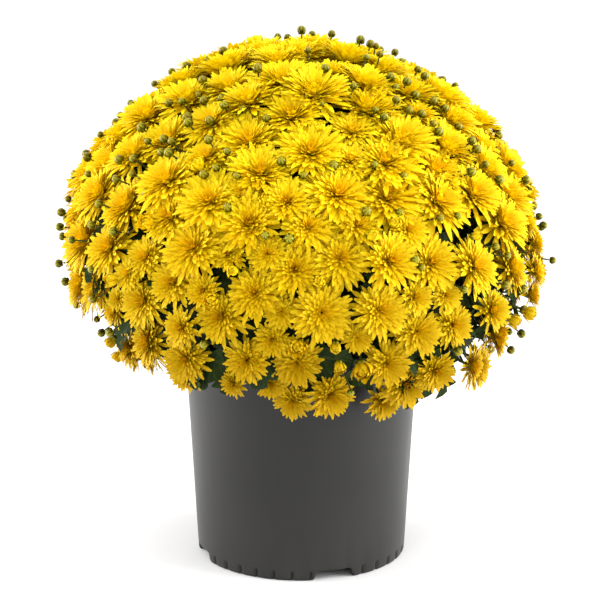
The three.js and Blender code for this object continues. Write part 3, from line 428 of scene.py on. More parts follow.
def gather_clusters(blooms):
    """Clusters of neighbouring blooms, each with a hub in the dome that its stalks spring from."""
    clusters = []
    for level, (count, angle, turn) in enumerate(CLUSTER_ROWS):
        for place in range(count):
            azimuth = math.radians(turn + 360 * place / count)
            point, normal = dome_place(azimuth, math.radians(angle), 0)
            hub = point - normal * HUB_DEPTH
            clusters.append(SimpleNamespace(level=level, place=place, hub=hub, axis=normal))
    for _ in range(GATHER_ROUNDS):
        for cluster in clusters:
            cluster.members = []
        for bloom in blooms:
            nearest_cluster(clusters, bloom.point).members.append(bloom)
        for cluster in clusters:
            points = np.array([bloom.point for bloom in cluster.members])
            cluster.axis = unit(sum(bloom.normal for bloom in cluster.members))
            cluster.hub = points.mean(axis=0) - cluster.axis * HUB_DEPTH
    return clusters


# Meshes

MILLIMETRE = 0.001
SPOT_SCALE = 0.1
TUBE_TIP = 0.5
CURVE_REACH = 0.4
NO_TRIS = np.zeros((0, 3), int)


def add_object(name, data):
    made = bpy.data.objects.new(name, data)
    bpy.context.scene.collection.objects.link(made)
    return made


class Batch:
    """Points and faces of one piece. Each point has three traits and a spot in the noise."""

    def __init__(self):
        self.parts = []
        self.count = 0

    def add(self, points, quads, traits, spots, tris=NO_TRIS):
        """Traits and spots are three values each: arrays, or one number for all points."""
        layers = [[np.broadcast_to(value, len(points)) for value in layer] for layer in (traits, spots)]
        layers = [np.stack(layer, axis=1) for layer in layers]
        self.parts.append((points, quads + self.count, tris + self.count, *layers))
        self.count += len(points)

    def object(self, name, material):
        points, quads, tris, traits, spots = [np.concatenate(rows) for rows in zip(*self.parts)]
        corners = np.concatenate([quads.ravel(), tris.ravel()])
        starts = np.concatenate([np.arange(len(quads)) * 4, quads.size + np.arange(len(tris)) * 3])
        mesh = bpy.data.meshes.new(name)
        mesh.vertices.add(len(points))
        mesh.vertices.foreach_set("co", (points * MILLIMETRE).astype(np.float32).ravel())
        mesh.loops.add(len(corners))
        mesh.loops.foreach_set("vertex_index", corners.astype(np.int32))
        mesh.polygons.add(len(starts))
        mesh.polygons.foreach_set("loop_start", starts.astype(np.int32))
        for title, rows in (("trait", traits), ("spot", spots)):
            layer = mesh.attributes.new(title, "FLOAT_VECTOR", "POINT")
            layer.data.foreach_set("vector", rows.astype(np.float32).ravel())
        mesh.update(calc_edges=True)
        mesh.validate()
        mesh.polygons.foreach_set("use_smooth", np.full(len(mesh.polygons), True))
        mesh.materials.append(material)
        return add_object(name, mesh)


def grid_quads(rows, columns, closed=False):
    """The quads of a grid of points. A closed grid joins its last column to its first."""
    grid = np.arange(rows * columns).reshape(rows, columns)
    if closed:
        grid = np.hstack([grid, grid[:, :1]])
    corners = (grid[:-1, :-1], grid[:-1, 1:], grid[1:, 1:], grid[1:, :-1])
    return np.stack(corners, axis=-1).reshape(-1, 4)


def ring_at(radius, angles, height):
    height = np.broadcast_to(height, angles.shape)
    return np.stack([radius * np.sin(angles), -radius * np.cos(angles), height], axis=1)


def add_tube(batch, points, radius, taper, sides, mark):
    """A tube along a line of points, closed at its far end. The taper is on its radius."""
    radii = radius * np.linspace(*taper, len(points))
    axes = np.gradient(points, axis=0)
    axes /= norm(axes, axis=1)[:, None]
    across, _ = frame_of(axes[0])
    angles = np.arange(sides) * TURN / sides
    rows = []
    for place, axis, reach in zip(points, axes, radii):
        across = unit(across - axis * (across @ axis))
        along = np.cross(axis, across)
        ring = np.outer(np.cos(angles), across) + np.outer(np.sin(angles), along)
        rows.append(place + ring * reach)
    shape = np.concatenate(rows + [points[-1:] + axes[-1:] * radii[-1] * TUBE_TIP])
    quads = grid_quads(len(points), sides, closed=True)
    last = (len(points) - 1) * sides
    tris = np.array([(last + side, last + (side + 1) % sides, len(shape) - 1) for side in range(sides)])
    share = np.concatenate([np.repeat(np.linspace(0, 1, len(points)), sides), [1.0]])
    batch.add(shape, quads, (share, mark, 0), shape.T * SPOT_SCALE, tris)


def bezier(start, leaving, end, arriving, steps):
    """A curve that leaves and arrives in given directions."""
    reach = norm(end - start) * CURVE_REACH
    after = start + leaving * reach
    before = end - arriving * reach
    share = np.linspace(0, 1, steps + 1)[:, None]
    rest = 1 - share
    return (start * rest ** 3 + 3 * after * share * rest ** 2 + 3 * before * share * share * rest
            + end * share ** 3)


# One petal: stations along it, each with its share of the width, and the points across it
PETAL_STATIONS = np.array([0, 0.36, 0.8, 1.0])
PETAL_WIDTHS = np.array([0.42, 0.84, 1.0, 0.34])
PETAL_ACROSS = np.array([-1.0, 0.0, 1.0])
PETAL_QUADS = grid_quads(len(PETAL_STATIONS), len(PETAL_ACROSS))
BEND_POWER = 1.2
PETAL_NOISE_STEP = 97


def add_petals(batch, site, angles, base, heights, lengths, widths, rises, bends, cups, ages, marks):
    """Petals of one head, in the frame of the site's facing. Each leaves the base circle at its rise above
    level, bends to its end rise, and is channelled by its cup."""
    facing = site.facing
    across, along = frame_of(facing)
    rise = rises[:, None] + (bends - rises)[:, None] * PETAL_STATIONS[None, :] ** BEND_POWER
    step = np.diff(PETAL_STATIONS, prepend=0)[None, :] * lengths[:, None]
    middle = (rise + np.concatenate([rise[:, :1], rise[:, :-1]], axis=1)) / 2
    out = base[:, None] + np.cumsum(np.cos(middle) * step, axis=1)
    lift = heights[:, None] + np.cumsum(np.sin(middle) * step, axis=1)
    half = widths[:, None] / 2 * PETAL_WIDTHS[None, :]
    radial = np.cos(angles)[:, None] * across + np.sin(angles)[:, None] * along
    side = -np.sin(angles)[:, None] * across + np.cos(angles)[:, None] * along
    centre = out[:, :, None] * radial[:, None, :] + lift[:, :, None] * facing
    normal = (-np.sin(rise))[:, :, None] * radial[:, None, :] + np.cos(rise)[:, :, None] * facing
    raised = (cups[:, None] * half)[:, :, None] * normal
    edge = half[:, :, None] * side[:, None, :]
    shape = np.stack([centre - edge + raised, centre, centre + edge + raised], axis=2)
    shape = shape.reshape(-1, 3) + site.foot
    count = len(lengths)
    per = len(PETAL_STATIONS) * len(PETAL_ACROSS)
    quads = (PETAL_QUADS[None] + (np.arange(count) * per)[:, None, None]).reshape(-1, 4)
    share = np.tile(np.repeat(PETAL_STATIONS, len(PETAL_ACROSS)), count)
    breadth = np.tile(PETAL_ACROSS, len(PETAL_STATIONS) * count)
    mark = np.repeat(marks, per)
    traits = (share, np.repeat(ages, per), mark)
    spots = (breadth * np.repeat(widths, per) / 2, share * np.repeat(lengths, per), mark * PETAL_NOISE_STEP)
    batch.add(shape, quads, traits, spots)


# A bloom with a radius of HEAD_UNIT. Pairs run from its middle to its rim, and angles are degrees above level
HEAD_UNIT = 30
HEAD_PETALS = 72
HEAD_MORE_PETALS = 146
HEAD_FEWER_PETALS = 20
HEAD_RADII = (0.8, 4.0)
HEAD_RISE = 4.5
HEAD_TILTS = (86, 6)
HEAD_TILT_POWER = 0.36
HEAD_YOUNG_TILT = 16
HEAD_RIM_FROM = 0.86
HEAD_RIM_FALL = 30
HEAD_ARCHES = (-24, 26)
HEAD_ARCH_POWER = 0.5
HEAD_REACHES = (0.3, 0.9)
HEAD_REACH_POWER = 0.65
HEAD_WIDTHS = (2.3, 4.5)
HEAD_WIDTH_POWER = 0.8
HEAD_CUPS = (0.42, 0.0)

# How much single petals vary
LENGTH_RANGE = (0.88, 1.1)
WIDTH_RANGE = (0.85, 1.15)
ANGLE_SCATTER = 0.3
RISE_SCATTER = 12
BEND_SCATTER = 24
CUP_SCATTER = 0.3
HEAD_DRAWS = 131


def grow_bloom(batch, bloom):
    """A double bloom: petals in a golden-angle spiral, folded in the middle and spread outside."""
    index = bloom.index
    fullness = mix(SKIRT_FULLNESS, CROWN_FULLNESS, clamp(bloom.normal[2] / CROWN_FACING, 0, 1))
    radius = bloom.radius * fullness
    size = radius / HEAD_UNIT
    young = draw(index, 51) ** 2
    order = np.arange(int(HEAD_PETALS + HEAD_MORE_PETALS * size - HEAD_FEWER_PETALS * young))
    age = (order + 0.5) / len(order)
    jitter = draws(order + index * HEAD_DRAWS, 52)
    other = draws(order + index * HEAD_DRAWS, 53)
    angles = order * GOLDEN_TURN + draw(index, 54) * TURN + (jitter - 0.5) * ANGLE_SCATTER
    rim = np.clip((age - HEAD_RIM_FROM) / (1 - HEAD_RIM_FROM), 0, 1)
    tilt = mix(*HEAD_TILTS, age ** HEAD_TILT_POWER) + HEAD_YOUNG_TILT * young - HEAD_RIM_FALL * rim
    arch = mix(*HEAD_ARCHES, age ** HEAD_ARCH_POWER)
    rise = np.radians(tilt + arch / 2 + (other - 0.5) * RISE_SCATTER)
    bend = np.radians(tilt - arch / 2 + (jitter - 0.5) * BEND_SCATTER)
    length = radius * mix(*HEAD_REACHES, age ** HEAD_REACH_POWER) * mix(*LENGTH_RANGE, other)
    width = mix(*HEAD_WIDTHS, age ** HEAD_WIDTH_POWER) * size ** HEAD_WIDTH_POWER
    width = width * mix(*WIDTH_RANGE, jitter)
    cups = mix(*HEAD_CUPS, age) + (other - 0.5) * CUP_SCATTER
    add_petals(batch, bloom, angles, mix(*HEAD_RADII, age) * size, (1 - age) * HEAD_RISE * size,
               length, width, rise, bend, cups, age, jitter)


# An opening bud, in the same way. Its size, petals and spread go by its openness
OPEN_SIZES = (0.95, 1.3)
OPEN_PETALS = (24, 42)
OPEN_SPREAD = 62
OPEN_FLATTENING = 0.25
OPEN_RADII = (0.4, 1.2)
OPEN_RISE = 1.5
OPEN_TILTS = (46, 12)
OPEN_TILT_SCATTER = 8
OPEN_BENDS = (166, 156)
OPEN_LENGTHS = (9, 12.6)
OPEN_LENGTH_RANGE = (0.93, 1.07)
OPEN_WIDTHS = (2.4, 4.1)
OPEN_CUP = 0.45
OPEN_AGES = (0.04, 0.34)
OPEN_DRAWS = 57


def grow_opening_bud(batch, bud, openness):
    """An opening head: petals folded over one another into a ball, the outer ones letting go."""
    index = bud.index
    size = bud.size / BUD_RADIUS * mix(*OPEN_SIZES, openness)
    order = np.arange(int(mix(*OPEN_PETALS, openness)))
    age = (order + 0.5) / len(order)
    jitter = draws(order + index * OPEN_DRAWS, 61)
    other = draws(order + index * OPEN_DRAWS, 62)
    rise = np.radians(mix(*OPEN_TILTS, age) + (other - 0.5) * OPEN_TILT_SCATTER)
    bend = np.radians(mix(*OPEN_BENDS, age) - OPEN_SPREAD * openness * age ** 2)
    length = mix(*OPEN_LENGTHS, age) * size * mix(*OPEN_LENGTH_RANGE, jitter)
    cups = OPEN_CUP - OPEN_FLATTENING * openness * age
    add_petals(batch, bud, order * GOLDEN_TURN + index, mix(*OPEN_RADII, age) * size,
               OPEN_RISE * (1 - age) * size, length, mix(*OPEN_WIDTHS, age) * size, rise, bend, cups,
               mix(*OPEN_AGES, age), jitter)


# Round buds and the calyx under a bloom. In the third trait a scale is SCALE_KIND, a ridge 1 and a groove 2
BALL_ROWS = 7
BALL_SIDES = 12
BALL_QUADS = grid_quads(BALL_ROWS, BALL_SIDES, closed=True)
SCALE_KIND = 0.4
BUD_WIDE = 0.8832
BUD_HIGH = 0.8096
BUD_POLES = (172, 4)
BUD_RIBS = 0.05
CALYX_RIBS = 0.06
CALYX_OUTLINE = [(0.28, -1.0), (0.55, -0.85), (0.85, -0.6), (1.0, -0.25), (1.0, 0.1), (0.8, 0.35), (0.4, 0.5)]


def add_ball(batch, place, facing, profile, mark, ribs):
    """A round form turned about its facing, from [radius, height] rows, with shallow ribs."""
    across, along = frame_of(facing)
    angles = np.arange(BALL_SIDES) * TURN / BALL_SIDES
    rows = []
    for radius, height in profile:
        spread = radius * (1 + ribs * np.cos(angles * BALL_SIDES / 2))
        ring = np.outer(np.cos(angles) * spread, across) + np.outer(np.sin(angles) * spread, along)
        rows.append(place + ring + facing * height)
    shape = np.concatenate(rows)
    shares = np.repeat(np.linspace(0, 1, len(profile)), BALL_SIDES)
    kinds = 1 + np.tile(np.arange(BALL_SIDES) % 2, len(profile))
    batch.add(shape, BALL_QUADS, (shares, mark, kinds), shape.T * SPOT_SCALE)


# Sepals hug a bud: angles in degrees from its foot, and half widths as shares of its size
SEPAL_COUNT = 6
SEPAL_STATIONS = 4
SEPAL_QUADS = grid_quads(SEPAL_STATIONS, 2)
SEPAL_ANGLES = (25, 91)
SEPAL_HALF = 0.36
SEPAL_TAPER = 0.3
SEPAL_REACH = 0.966


def add_sepals(batch, place, facing, size, mark):
    across, along = frame_of(facing)
    for sepal in range(SEPAL_COUNT):
        angle = TURN * sepal / SEPAL_COUNT + mark
        radial = across * math.cos(angle) + along * math.sin(angle)
        side = -across * math.sin(angle) + along * math.cos(angle)
        rows = []
        for share in np.linspace(0, 1, SEPAL_STATIONS):
            polar = math.radians(mix(*SEPAL_ANGLES, share))
            middle = (radial * math.sin(polar) - facing * math.cos(polar)) * size
            half = size * (SEPAL_HALF - SEPAL_TAPER * share * share)
            rows += [place + middle - side * half, place + middle + side * half]
        shape = np.array(rows)
        shares = np.repeat(np.linspace(0, 1, SEPAL_STATIONS), 2)
        batch.add(shape, SEPAL_QUADS, (shares, mark % 1, SCALE_KIND), shape.T * SPOT_SCALE)


def grow_green_bud(batch, bud):
    size = bud.size
    polar = np.radians(np.linspace(*BUD_POLES, BALL_ROWS))
    profile = [(size * BUD_WIDE * math.sin(angle), size * BUD_HIGH * math.cos(angle)) for angle in polar]
    mark = draw(bud.index, 71)
    add_ball(batch, bud.point, bud.facing, profile, mark, BUD_RIBS)
    add_sepals(batch, bud.point, bud.facing, size * SEPAL_REACH, mark + 0.5)


def grow_calyx(batch, site, size, mark):
    profile = [(size * radius, size * height) for radius, height in CALYX_OUTLINE]
    add_ball(batch, site.foot, site.facing, profile, mark, CALYX_RIBS)


# A lobed leaf: stations along it, with the edge's share of the width, and the points across it
LEAF_STATIONS = np.array([0, 0.12, 0.2, 0.27, 0.34, 0.4, 0.48, 0.56, 0.63, 0.7, 0.8, 0.9, 1.0])
LEAF_EDGES = np.array([0.05, 0.06, 0.5, 0.86, 0.62, 0.4, 0.72, 1.0, 0.78, 0.48, 0.62, 0.4, 0.03])
LEAF_ACROSS = np.array([-1.0, -0.5, 0.0, 0.5, 1.0])
LEAF_QUADS = grid_quads(len(LEAF_STATIONS), len(LEAF_ACROSS))
LEAF_SWEEP = 0.16
LEAF_DROOPS = (0.26, 0.56)
LEAF_FOLDS = (0.18, 0.48)
LEAF_WAVE = 0.9
LEAF_WAVE_STEP = 23
LEAF_WAVE_START = 9
LEAF_NOISE_STEP = 53


def add_leaf(batch, root, direction, face, length, width, mark):
    """A drooping leaf, folded along its rib and waved at its edge. Its lobes point forward."""
    side = unit(np.cross(face, direction))
    face = np.cross(direction, side)
    along = LEAF_STATIONS[:, None]
    half = width / 2 * LEAF_EDGES[:, None]
    across = LEAF_ACROSS[None, :]
    forward = along * length + LEAF_SWEEP * width * np.abs(across) * LEAF_EDGES[:, None]
    sideways = across * half
    fold = mix(*LEAF_FOLDS, mark) * np.abs(across) * half
    wave = LEAF_WAVE * np.sin(along * LEAF_WAVE_STEP + mark * LEAF_WAVE_START) * across ** 2
    wave = wave * np.sin(LEAF_STATIONS * math.pi)[:, None]
    height = fold + wave - mix(*LEAF_DROOPS, mark) * length * along ** 2
    shape = forward[..., None] * direction + sideways[..., None] * side + height[..., None] * face
    shape = shape.reshape(-1, 3) + root
    share = np.repeat(LEAF_STATIONS, len(LEAF_ACROSS))
    breadth = np.tile(LEAF_ACROSS, len(LEAF_STATIONS))
    spots = (sideways.ravel(), share * length, mark * LEAF_NOISE_STEP)
    batch.add(shape, LEAF_QUADS, (share, np.abs(breadth), mark), spots)


# Leaves on a stalk or branch, and how far they turn outward, ahead and to the light
LEAF_LENGTHS = (34, 52)
LEAF_WIDTH = 0.72
LEAF_OUTWARD = (0.0, 0.55)
LEAF_AHEAD = 0.2
LEAF_LIGHT = 0.6
LEAF_TURN = 2.1
LEAF_DRAWS = 7
BLOOM_LEAVES = 3
BLOOM_STRETCH = (0.15, 0.7)
BLOOM_SERIES = 1000
BRANCH_LEAVES = 12
BRANCH_STRETCH = (0.1, 0.98)
BRANCH_SERIES = 4000


def leaves_along(batch, line, count, index, shares, outward):
    """Leaves that leave a stalk or branch in turn, with their upper sides to the light."""
    across, along = frame_of(outward)
    for leaf in range(count):
        number = index * LEAF_DRAWS + leaf
        mark = draw(number, 81)
        place = mix(*shares, (leaf + mark) / count) * (len(line) - 1)
        low = min(int(place), len(line) - 2)
        root = line[low] + (line[low + 1] - line[low]) * (place - low)
        axis = unit(line[low + 1] - line[low])
        angle = leaf * GOLDEN_TURN + index * LEAF_TURN
        spread = across * math.cos(angle) + along * math.sin(angle)
        direction = unit(spread + outward * between(*LEAF_OUTWARD, number, 82) + axis * LEAF_AHEAD)
        face = unit(outward + UP * LEAF_LIGHT - direction * (direction @ outward))
        length = between(*LEAF_LENGTHS, number, 83)
        add_leaf(batch, root, direction, face, length, length * LEAF_WIDTH, mark)


# Leaves that hang out of the dome's lower edge, in the same way
HANG_DEPTH = 22
HANG_OUTWARD = 0.55
HANG_DROPS = (0.5, 1.0)
HANG_SWAYS = (-0.4, 0.4)
HANG_LIGHT = 0.5
HANG_LENGTHS = (27, 38)
HANG_WIDTH = 0.74


def hang_leaf(batch, seen, index):
    point, normal = dome_place(*place_from_view(*seen), -HANG_DEPTH)
    drop = UP * between(*HANG_DROPS, index, 84)
    way = unit(normal * HANG_OUTWARD - drop + SIDEWAYS * between(*HANG_SWAYS, index, 85))
    face = unit(normal + UP * HANG_LIGHT - way * (way @ normal))
    length = between(*HANG_LENGTHS, index, 86)
    add_leaf(batch, point, way, face, length, length * HANG_WIDTH, draw(index, 87))


# Materials


def new_material(name, roughness, specular):
    material = bpy.data.materials.new(name)
    material.use_nodes = True
    shader = material.node_tree.nodes["Principled BSDF"]
    shader.inputs["Roughness"].default_value = roughness
    shader.inputs["Specular IOR Level"].default_value = specular
    return material, material.node_tree, shader


def feed(tree, socket, value):
    """Links a socket to another one, or sets it to a value."""
    if isinstance(value, bpy.types.NodeSocket):
        tree.links.new(value, socket)
    elif socket.type == "RGBA":
        socket.default_value = (*value, 1)
    else:
        socket.default_value = value


def node(tree, kind, **inputs):
    """A new node with its inputs fed. A space in an input's title is written as _."""
    made = tree.nodes.new("ShaderNode" + kind)
    for title, value in inputs.items():
        feed(tree, made.inputs[title.replace("_", " ")], value)
    return made


def attribute(tree, title):
    made = node(tree, "Attribute")
    made.attribute_name = title
    return made.outputs["Vector"]


def traits(tree):
    return split(tree, attribute(tree, "trait"))


def object_place(tree):
    return node(tree, "TexCoord").outputs["Object"]


def split(tree, vector):
    return node(tree, "SeparateXYZ", Vector=vector).outputs


def ramp(tree, value, stops):
    made = node(tree, "ValToRGB", Fac=value)
    elements = made.color_ramp.elements
    while len(elements) < len(stops):
        elements.new(0.5)
    for element, (place, colour) in zip(elements, stops):
        element.position = place
        element.color = (*colour, 1)
    return made.outputs["Color"]


def mixed(tree, factor, first, second):
    made = node(tree, "Mix")
    made.data_type = "RGBA"
    for place, value in ((0, factor), (6, first), (7, second)):
        feed(tree, made.inputs[place], value)
    return made.outputs[2]


def maths(tree, operation, first, second=0.0):
    made = node(tree, "Math")
    made.operation = operation
    feed(tree, made.inputs[0], first)
    feed(tree, made.inputs[1], second)
    return made.outputs["Value"]


def tinted(tree, colour, mask, share, tint):
    return mixed(tree, maths(tree, "MULTIPLY", mask, share), colour, tint)


def way_from(tree, value, low, high):
    """How far a value lies on the way from low to high, from 0 to 1."""
    return node(tree, "MapRange", Value=value, From_Min=low, From_Max=high).outputs["Result"]


def noise(tree, vector, scale, detail, roughness=0.5):
    made = node(tree, "TexNoise", Vector=vector, Scale=scale, Detail=detail, Roughness=roughness)
    return made.outputs["Fac"]


def stretched(tree, vector, scale):
    return node(tree, "Mapping", Vector=vector, Scale=scale).outputs["Vector"]


def dress(tree, shader, colour, height, strength, distance):
    """Gives a shader its colour, and a bump that follows a height."""
    tree.links.new(colour, shader.inputs["Base Color"])
    bump = node(tree, "Bump", Height=height, Strength=strength, Distance=distance)
    tree.links.new(bump.outputs["Normal"], shader.inputs["Normal"])


# Petals: from foot to tip, and from a head's middle to its rim. Low blooms are darkened with painted shade,
# high ones made more lemon and lighter, partly painted light on the crown
LENGTH_RAMP = [(0, (0.95, 0.64, 0)), (0.35, (0.96, 0.7, 0)), (0.8, (0.97, 0.725, 0.001)),
               (1, (0.98, 0.74, 0.01))]
AGE_RAMP = [(0, (0.97, 0.44, 0)), (0.1, (0.98, 0.64, 0)), (0.26, (0.96, 0.67, 0)), (1, (0.96, 0.7, 0.002))]
PETAL_PALE = (0.97, 0.75, 0.015)
PETAL_VEIN = (0.93, 0.6, 0)
PETAL_PAINTED_SHADE = (0.5, 0.285, 0)
PETAL_LEMON_AND_LIGHT = (0.98, 0.82, 0.004)
PAINTED_SHADE_HEIGHTS = (0.39, 0.21)
LEMON_AND_LIGHT_HEIGHTS = (0.37, 0.47)


def petal_material():
    material, tree, shader = new_material("petal", 0.6, 0.12)
    along, age, mark = traits(tree)
    veins = noise(tree, stretched(tree, attribute(tree, "spot"), (1.5, 0.06, 1)), 1.0, 2)
    height = split(tree, object_place(tree))["Z"]
    colour = mixed(tree, 0.5, ramp(tree, along, LENGTH_RAMP), ramp(tree, age, AGE_RAMP))
    colour = tinted(tree, colour, mark, 0.25, PETAL_PALE)
    colour = tinted(tree, colour, maths(tree, "SUBTRACT", veins, 0.45), 0.6, PETAL_VEIN)
    # painted shade: the low blooms darkened as if shaded by the blooms above
    colour = tinted(tree, colour, way_from(tree, height, *PAINTED_SHADE_HEIGHTS), 0.85, PETAL_PAINTED_SHADE)
    # the high blooms tinted lemon and lighter: partly their own hue, partly painted light on the crown
    colour = tinted(tree, colour, way_from(tree, height, *LEMON_AND_LIGHT_HEIGHTS), 0.45, PETAL_LEMON_AND_LIGHT)
    shader.inputs["Subsurface Weight"].default_value = 0.35
    shader.inputs["Subsurface Radius"].default_value = (1.0, 0.8, 0.1)
    shader.inputs["Subsurface Scale"].default_value = 0.004
    dress(tree, shader, colour, veins, 0.5, 0.0006)
    return material


# Leaves: side veins leave the rib at a slant
LEAF_RAMP = [(0.3, (0.005, 0.012, 0.002)), (0.5, (0.011, 0.024, 0.003)), (0.75, (0.022, 0.042, 0.006))]
LEAF_LIGHT_GREEN = (0.03, 0.05, 0.008)
LEAF_VEIN = (0.06, 0.09, 0.02)
VEIN_PAIRS = 9
VEIN_SLANT = -1.6


def leaf_material():
    material, tree, shader = new_material("leaf", 0.6, 0.1)
    along, breadth, mark = traits(tree)
    spot = attribute(tree, "spot")
    rib = maths(tree, "LESS_THAN", breadth, 0.07)
    slant = maths(tree, "MULTIPLY", breadth, VEIN_SLANT)
    slant = maths(tree, "ADD", maths(tree, "MULTIPLY", along, VEIN_PAIRS), slant)
    wave = maths(tree, "SINE", maths(tree, "MULTIPLY", slant, TURN))
    vein = maths(tree, "GREATER_THAN", wave, 0.9)
    lines = maths(tree, "MAXIMUM", rib, maths(tree, "MULTIPLY", vein, 0.6))
    colour = ramp(tree, noise(tree, spot, 0.12, 3), LEAF_RAMP)
    colour = tinted(tree, colour, mark, 0.35, LEAF_LIGHT_GREEN)
    colour = tinted(tree, colour, lines, 0.4, LEAF_VEIN)
    height = maths(tree, "SUBTRACT", noise(tree, spot, 0.9, 4), maths(tree, "MULTIPLY", lines, 0.5))
    dress(tree, shader, colour, height, 0.5, 0.0008)
    return material


# Stems: from root to head
STEM_RAMP = [(0, (0.03, 0.04, 0.01)), (0.6, (0.04, 0.055, 0.012)), (1, (0.07, 0.09, 0.015))]
STEM_BROWN = (0.05, 0.035, 0.015)


def stem_material():
    material, tree, shader = new_material("stem", 0.6, 0.06)
    along = traits(tree)["X"]
    spot = attribute(tree, "spot")
    colour = tinted(tree, ramp(tree, along, STEM_RAMP), noise(tree, spot, 0.7, 4), 0.35, STEM_BROWN)
    dress(tree, shader, colour, noise(tree, stretched(tree, spot, (6, 6, 1)), 2.0, 3), 0.3, 0.0005)
    return material


# Buds: from foot to top, the ball and its scales, each darkened towards the foot with painted shade and
# lightened towards the top with painted light, over the ball's own yellower top and the scales' own paler
# tips
BALL_RAMP_WITH_PAINTED_LIGHT = [(0, (0.012, 0.013, 0)), (0.42, (0.04, 0.042, 0)), (0.6, (0.2, 0.19, 0)),
             (0.82, (0.42, 0.38, 0.005)), (1, (0.6, 0.5, 0.01))]
SCALE_RAMP_WITH_PAINTED_LIGHT = [(0, (0.02, 0.024, 0)), (0.6, (0.08, 0.085, 0)), (1, (0.3, 0.29, 0.004))]
BALL_GROOVE_SHADE = (0.012, 0.018, 0)
BALL_WARM = (0.32, 0.17, 0)
BUD_BLOTCH = (0.03, 0.032, 0)
GROOVE_SHADE_KINDS = (1.3, 1.9)


def bud_material():
    material, tree, shader = new_material("bud", 0.2, 0.2)
    share, mark, kind = traits(tree)
    blotch = noise(tree, attribute(tree, "spot"), 3.0, 3)
    # painted shade towards the bud's foot, and painted light over its own yellower top
    ball = ramp(tree, share, BALL_RAMP_WITH_PAINTED_LIGHT)
    # painted shade in the grooves between the bud's ribs
    ball = tinted(tree, ball, way_from(tree, kind, *GROOVE_SHADE_KINDS), 0.75, BALL_GROOVE_SHADE)
    ball = tinted(tree, ball, mark, 0.25, BALL_WARM)
    is_ball = maths(tree, "GREATER_THAN", kind, (SCALE_KIND + 1) / 2)
    # the scales: painted shade at their foot, and a painted highlight over their own paler tips
    colour = mixed(tree, is_ball, ramp(tree, share, SCALE_RAMP_WITH_PAINTED_LIGHT), ball)
    colour = tinted(tree, colour, blotch, 0.3, BUD_BLOTCH)
    dress(tree, shader, colour, blotch, 0.35, 0.0005)
    return material


# The pot's plastic, the dust near its foot, and painted shade in the dents and along the foot's bottom edge
POT_RAMP = [(0.3, (0.0075, 0.0073, 0.0064)), (0.7, (0.0115, 0.0112, 0.01))]
POT_DUST = (0.04, 0.038, 0.03)
POT_PAINTED_SHADE = (0.001, 0.001, 0.001)
POT_ROUGHNESS = (0.34, 0.46)
DUST_HEIGHT = 0.25
DUST_RAMP = [(0, (1, 1, 1)), (0.35, (0, 0, 0)), (1, (0, 0, 0))]


def pot_material():
    material, tree, shader = new_material("pot_plastic", POT_ROUGHNESS[0], 0.34)
    place = object_place(tree)
    dust = noise(tree, stretched(tree, place, (60, 60, 9)), 1.0, 5)
    low = ramp(tree, maths(tree, "MULTIPLY", split(tree, place)["Z"], 1 / DUST_HEIGHT), DUST_RAMP)
    painted_shade = traits(tree)["X"]
    colour = ramp(tree, noise(tree, place, 9.0, 4), POT_RAMP)
    colour = tinted(tree, colour, maths(tree, "MULTIPLY", dust, low), 0.5, POT_DUST)
    # painted shade: near black in the dents and a painted contact shadow along the bottom edge; the same mask
    # also roughens them
    colour = tinted(tree, colour, painted_shade, 0.95, POT_PAINTED_SHADE)
    least, most = POT_ROUGHNESS
    rough = node(tree, "MapRange", Value=dust, To_Min=least, To_Max=most).outputs["Result"]
    rough = maths(tree, "ADD", rough, maths(tree, "MULTIPLY", painted_shade, 0.4))
    tree.links.new(rough, shader.inputs["Roughness"])
    dress(tree, shader, colour, noise(tree, place, 900.0, 2), 0.12, 0.0004)
    return material


SOIL_RAMP = [(0.3, (0.008, 0.005, 0.003)), (0.55, (0.03, 0.018, 0.01)), (0.8, (0.08, 0.05, 0.03))]


def soil_material():
    material, tree, shader = new_material("soil", 0.95, 0.5)
    crumb = noise(tree, object_place(tree), 160.0, 6, 0.7)
    dress(tree, shader, ramp(tree, crumb, SOIL_RAMP), crumb, 0.9, 0.003)
    return material


# The pot's outline: heights, and points as [how far in or out, height]
AXIS_GAP = 0.5
FLOOR_RING = 60
FOOT_EDGE = 1
FOOT_INSIDE = POT_FOOT_RADIUS - FOOT_WIDTH
FOOT_ROUNDING = [(3.4, 0.0), (1.6, 0.3), (0.5, 1.2)]
UNDERSIDE = [(-3, FLOOR_HEIGHT), (-0.5, FLOOR_HEIGHT - 1.5), (0, 1.0), (FOOT_EDGE, 0.0)]
OUTSIDE_HEIGHTS = [2.6, 4, 5.5, 7, 8.5, 9.5, 10.5, 12, 14, 18, 24, 40, 60, 90, 120, 150, 180, 200]
INSIDE_HEIGHTS = [180, 120, 60, FLOOR_HEIGHT + WALL + 1]
LIP_BELOW = [(1.2, 1.0), (0, 2.2)]
LIP_ROUNDING = 1.4
MOUTH_ROUNDING = 1


def pot_radius(height):
    return POT_FOOT_RADIUS + (POT_TOP_RADIUS - POT_FOOT_RADIUS) * height / POT_HEIGHT


